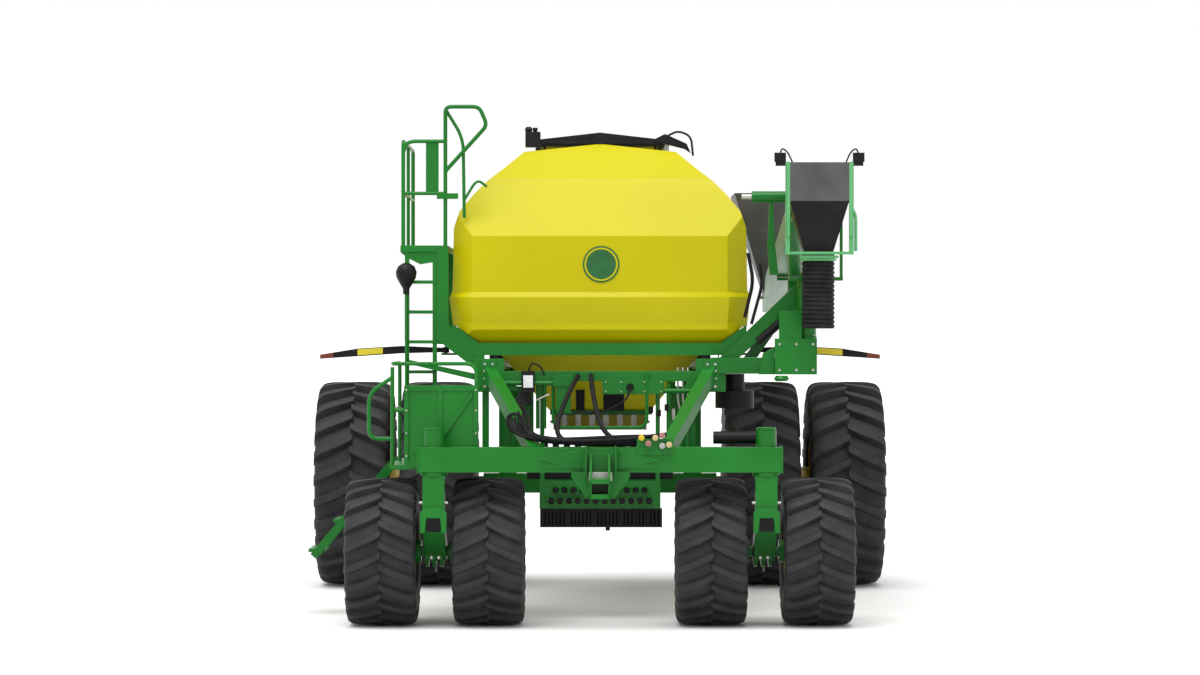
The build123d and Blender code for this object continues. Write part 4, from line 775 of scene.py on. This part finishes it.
gather("service_tubes", tubes, zinc, edge=0)
# Darker yellow than the tanks: painted shade on the hopper outlets under the tank.
shaded_hopper_yellow = finish("painted_shade_yellow_poly", srgb(128, 112, 20), srgb(150, 134, 26), 0.35, 5, 0.1)
meter_places = np.arange(-0.43, 0.4, 0.128).tolist()
meter_ribs = [brick((x, x + 0.075), (-1.735, -1.706), (1.715, 1.83)) for x in meter_places]
gather("meter_ribs", meter_ribs, shaded_hopper_yellow)
# The tool box's thin top strip takes the paler green: painted highlight on its lit top edge.
box_lid = brick((-0.40, -0.26), (-2.604, -2.52), (2.188, 2.20))
gather("tool_box_lid", [box_lid], highlight_green)

# Tied hose harness: more sleeved hoses run beside the two free ones and end in capped couplers on a
# bracket at the beam's front edge.
harness = []
for n in range(5):
    over, lift = 0.022 * n, 0.012 * (n % 3)
    harness.append(swept([
        (-0.70 + over, -2.60, 2.05 - over), (-0.78 + over, -2.90, 1.93),
        (-0.80 + 2 * over, -3.20, 1.80 + lift), (-0.70 + over, -3.42, 1.68 + lift),
        (-0.45 + over, -3.48 - over, 1.625 + lift),
        (-0.10, -3.49 - over, 1.613 + 2 * lift), (0.22, -3.50 - over, 1.63 + 2 * lift),
        (0.36 + 0.055 * n, -3.60, 1.66 + 0.01 * n)], 0.017, 0.14))
harness.append(swept([(-0.62, -3.44, 1.66), (-0.79, -3.40, 1.72), (-0.82, -3.38, 1.86), (-0.70, -3.38, 1.88),
                      (-0.66, -3.42, 1.70), (-0.40, -3.47, 1.64)], 0.014, 0.10))
gather("tied_harness", harness, sleeve_black, edge=0)
caps = {"yellow": ((196, 164, 40), [(0.36, 1.67)]), "pink": ((150, 104, 96), [(0.42, 1.62), (0.54, 1.69)]),
        "cream": ((176, 160, 112), [(0.48, 1.67), (0.60, 1.61)]), "grey": ((150, 150, 146), [(0.54, 1.60)])}
cap_outline = [(-0.05, 0.014), (-0.045, 0.026), (0.0, 0.026)]
for colour, (shade, spots) in caps.items():
    coat = finish(f"cap_{colour}", srgb(*shade), srgb(*[min(255, step + 10) for step in shade]), 0.4, 20, 0.1)
    cap_forms = [lathe(cap_outline, (x, -3.655, z), "y", 20) for x, z in spots]
    gather(f"coupler_caps_{colour}", cap_forms, coat, edge=0)
cap_spots = [spot for _, spots in caps.values() for spot in spots]
coupler_forms = [lathe([(-0.02, 0.022), (0.08, 0.022)], (x, -3.635, z), "y", 20) for x, z in cap_spots]
gather("coupler_bodies", coupler_forms, zinc, edge=0)
bracket = brick((0.32, 0.64), (-3.637, -3.626), (1.52, 1.66))
gather("coupler_bracket", [bracket], green_enamel)

# Marker fittings: an amber reflector strip and a red end lamp, both moulded plastic, glued to the
# front of each marker arm. They fold with it.
reflector = finish("reflector_amber", srgb(196, 178, 40), srgb(214, 196, 56), 0.3, 90, 0.4)
lamp_red = finish("lamp_red", srgb(96, 44, 30), srgb(120, 54, 36), 0.3, 60, 0.3)
for side, name in ((-1, "left"), (1, "right")):
    yellow_bar = [(side * 2.20, 2.378), (side * 1.97, 2.393), (side * 1.97, 2.447), (side * 2.20, 2.432)]
    red_bar = [(side * 2.535, 2.352), (side * 2.42, 2.36), (side * 2.42, 2.402), (side * 2.535, 2.384)]
    body, strip, lamp = f"marker_{name}", plate(yellow_bar, -2.227, -2.220), plate(red_bar, -2.230, -2.220)
    gather(f"reflector_{name}", [strip], reflector, body)
    gather(f"end_lamp_{name}", [lamp], lamp_red, body)
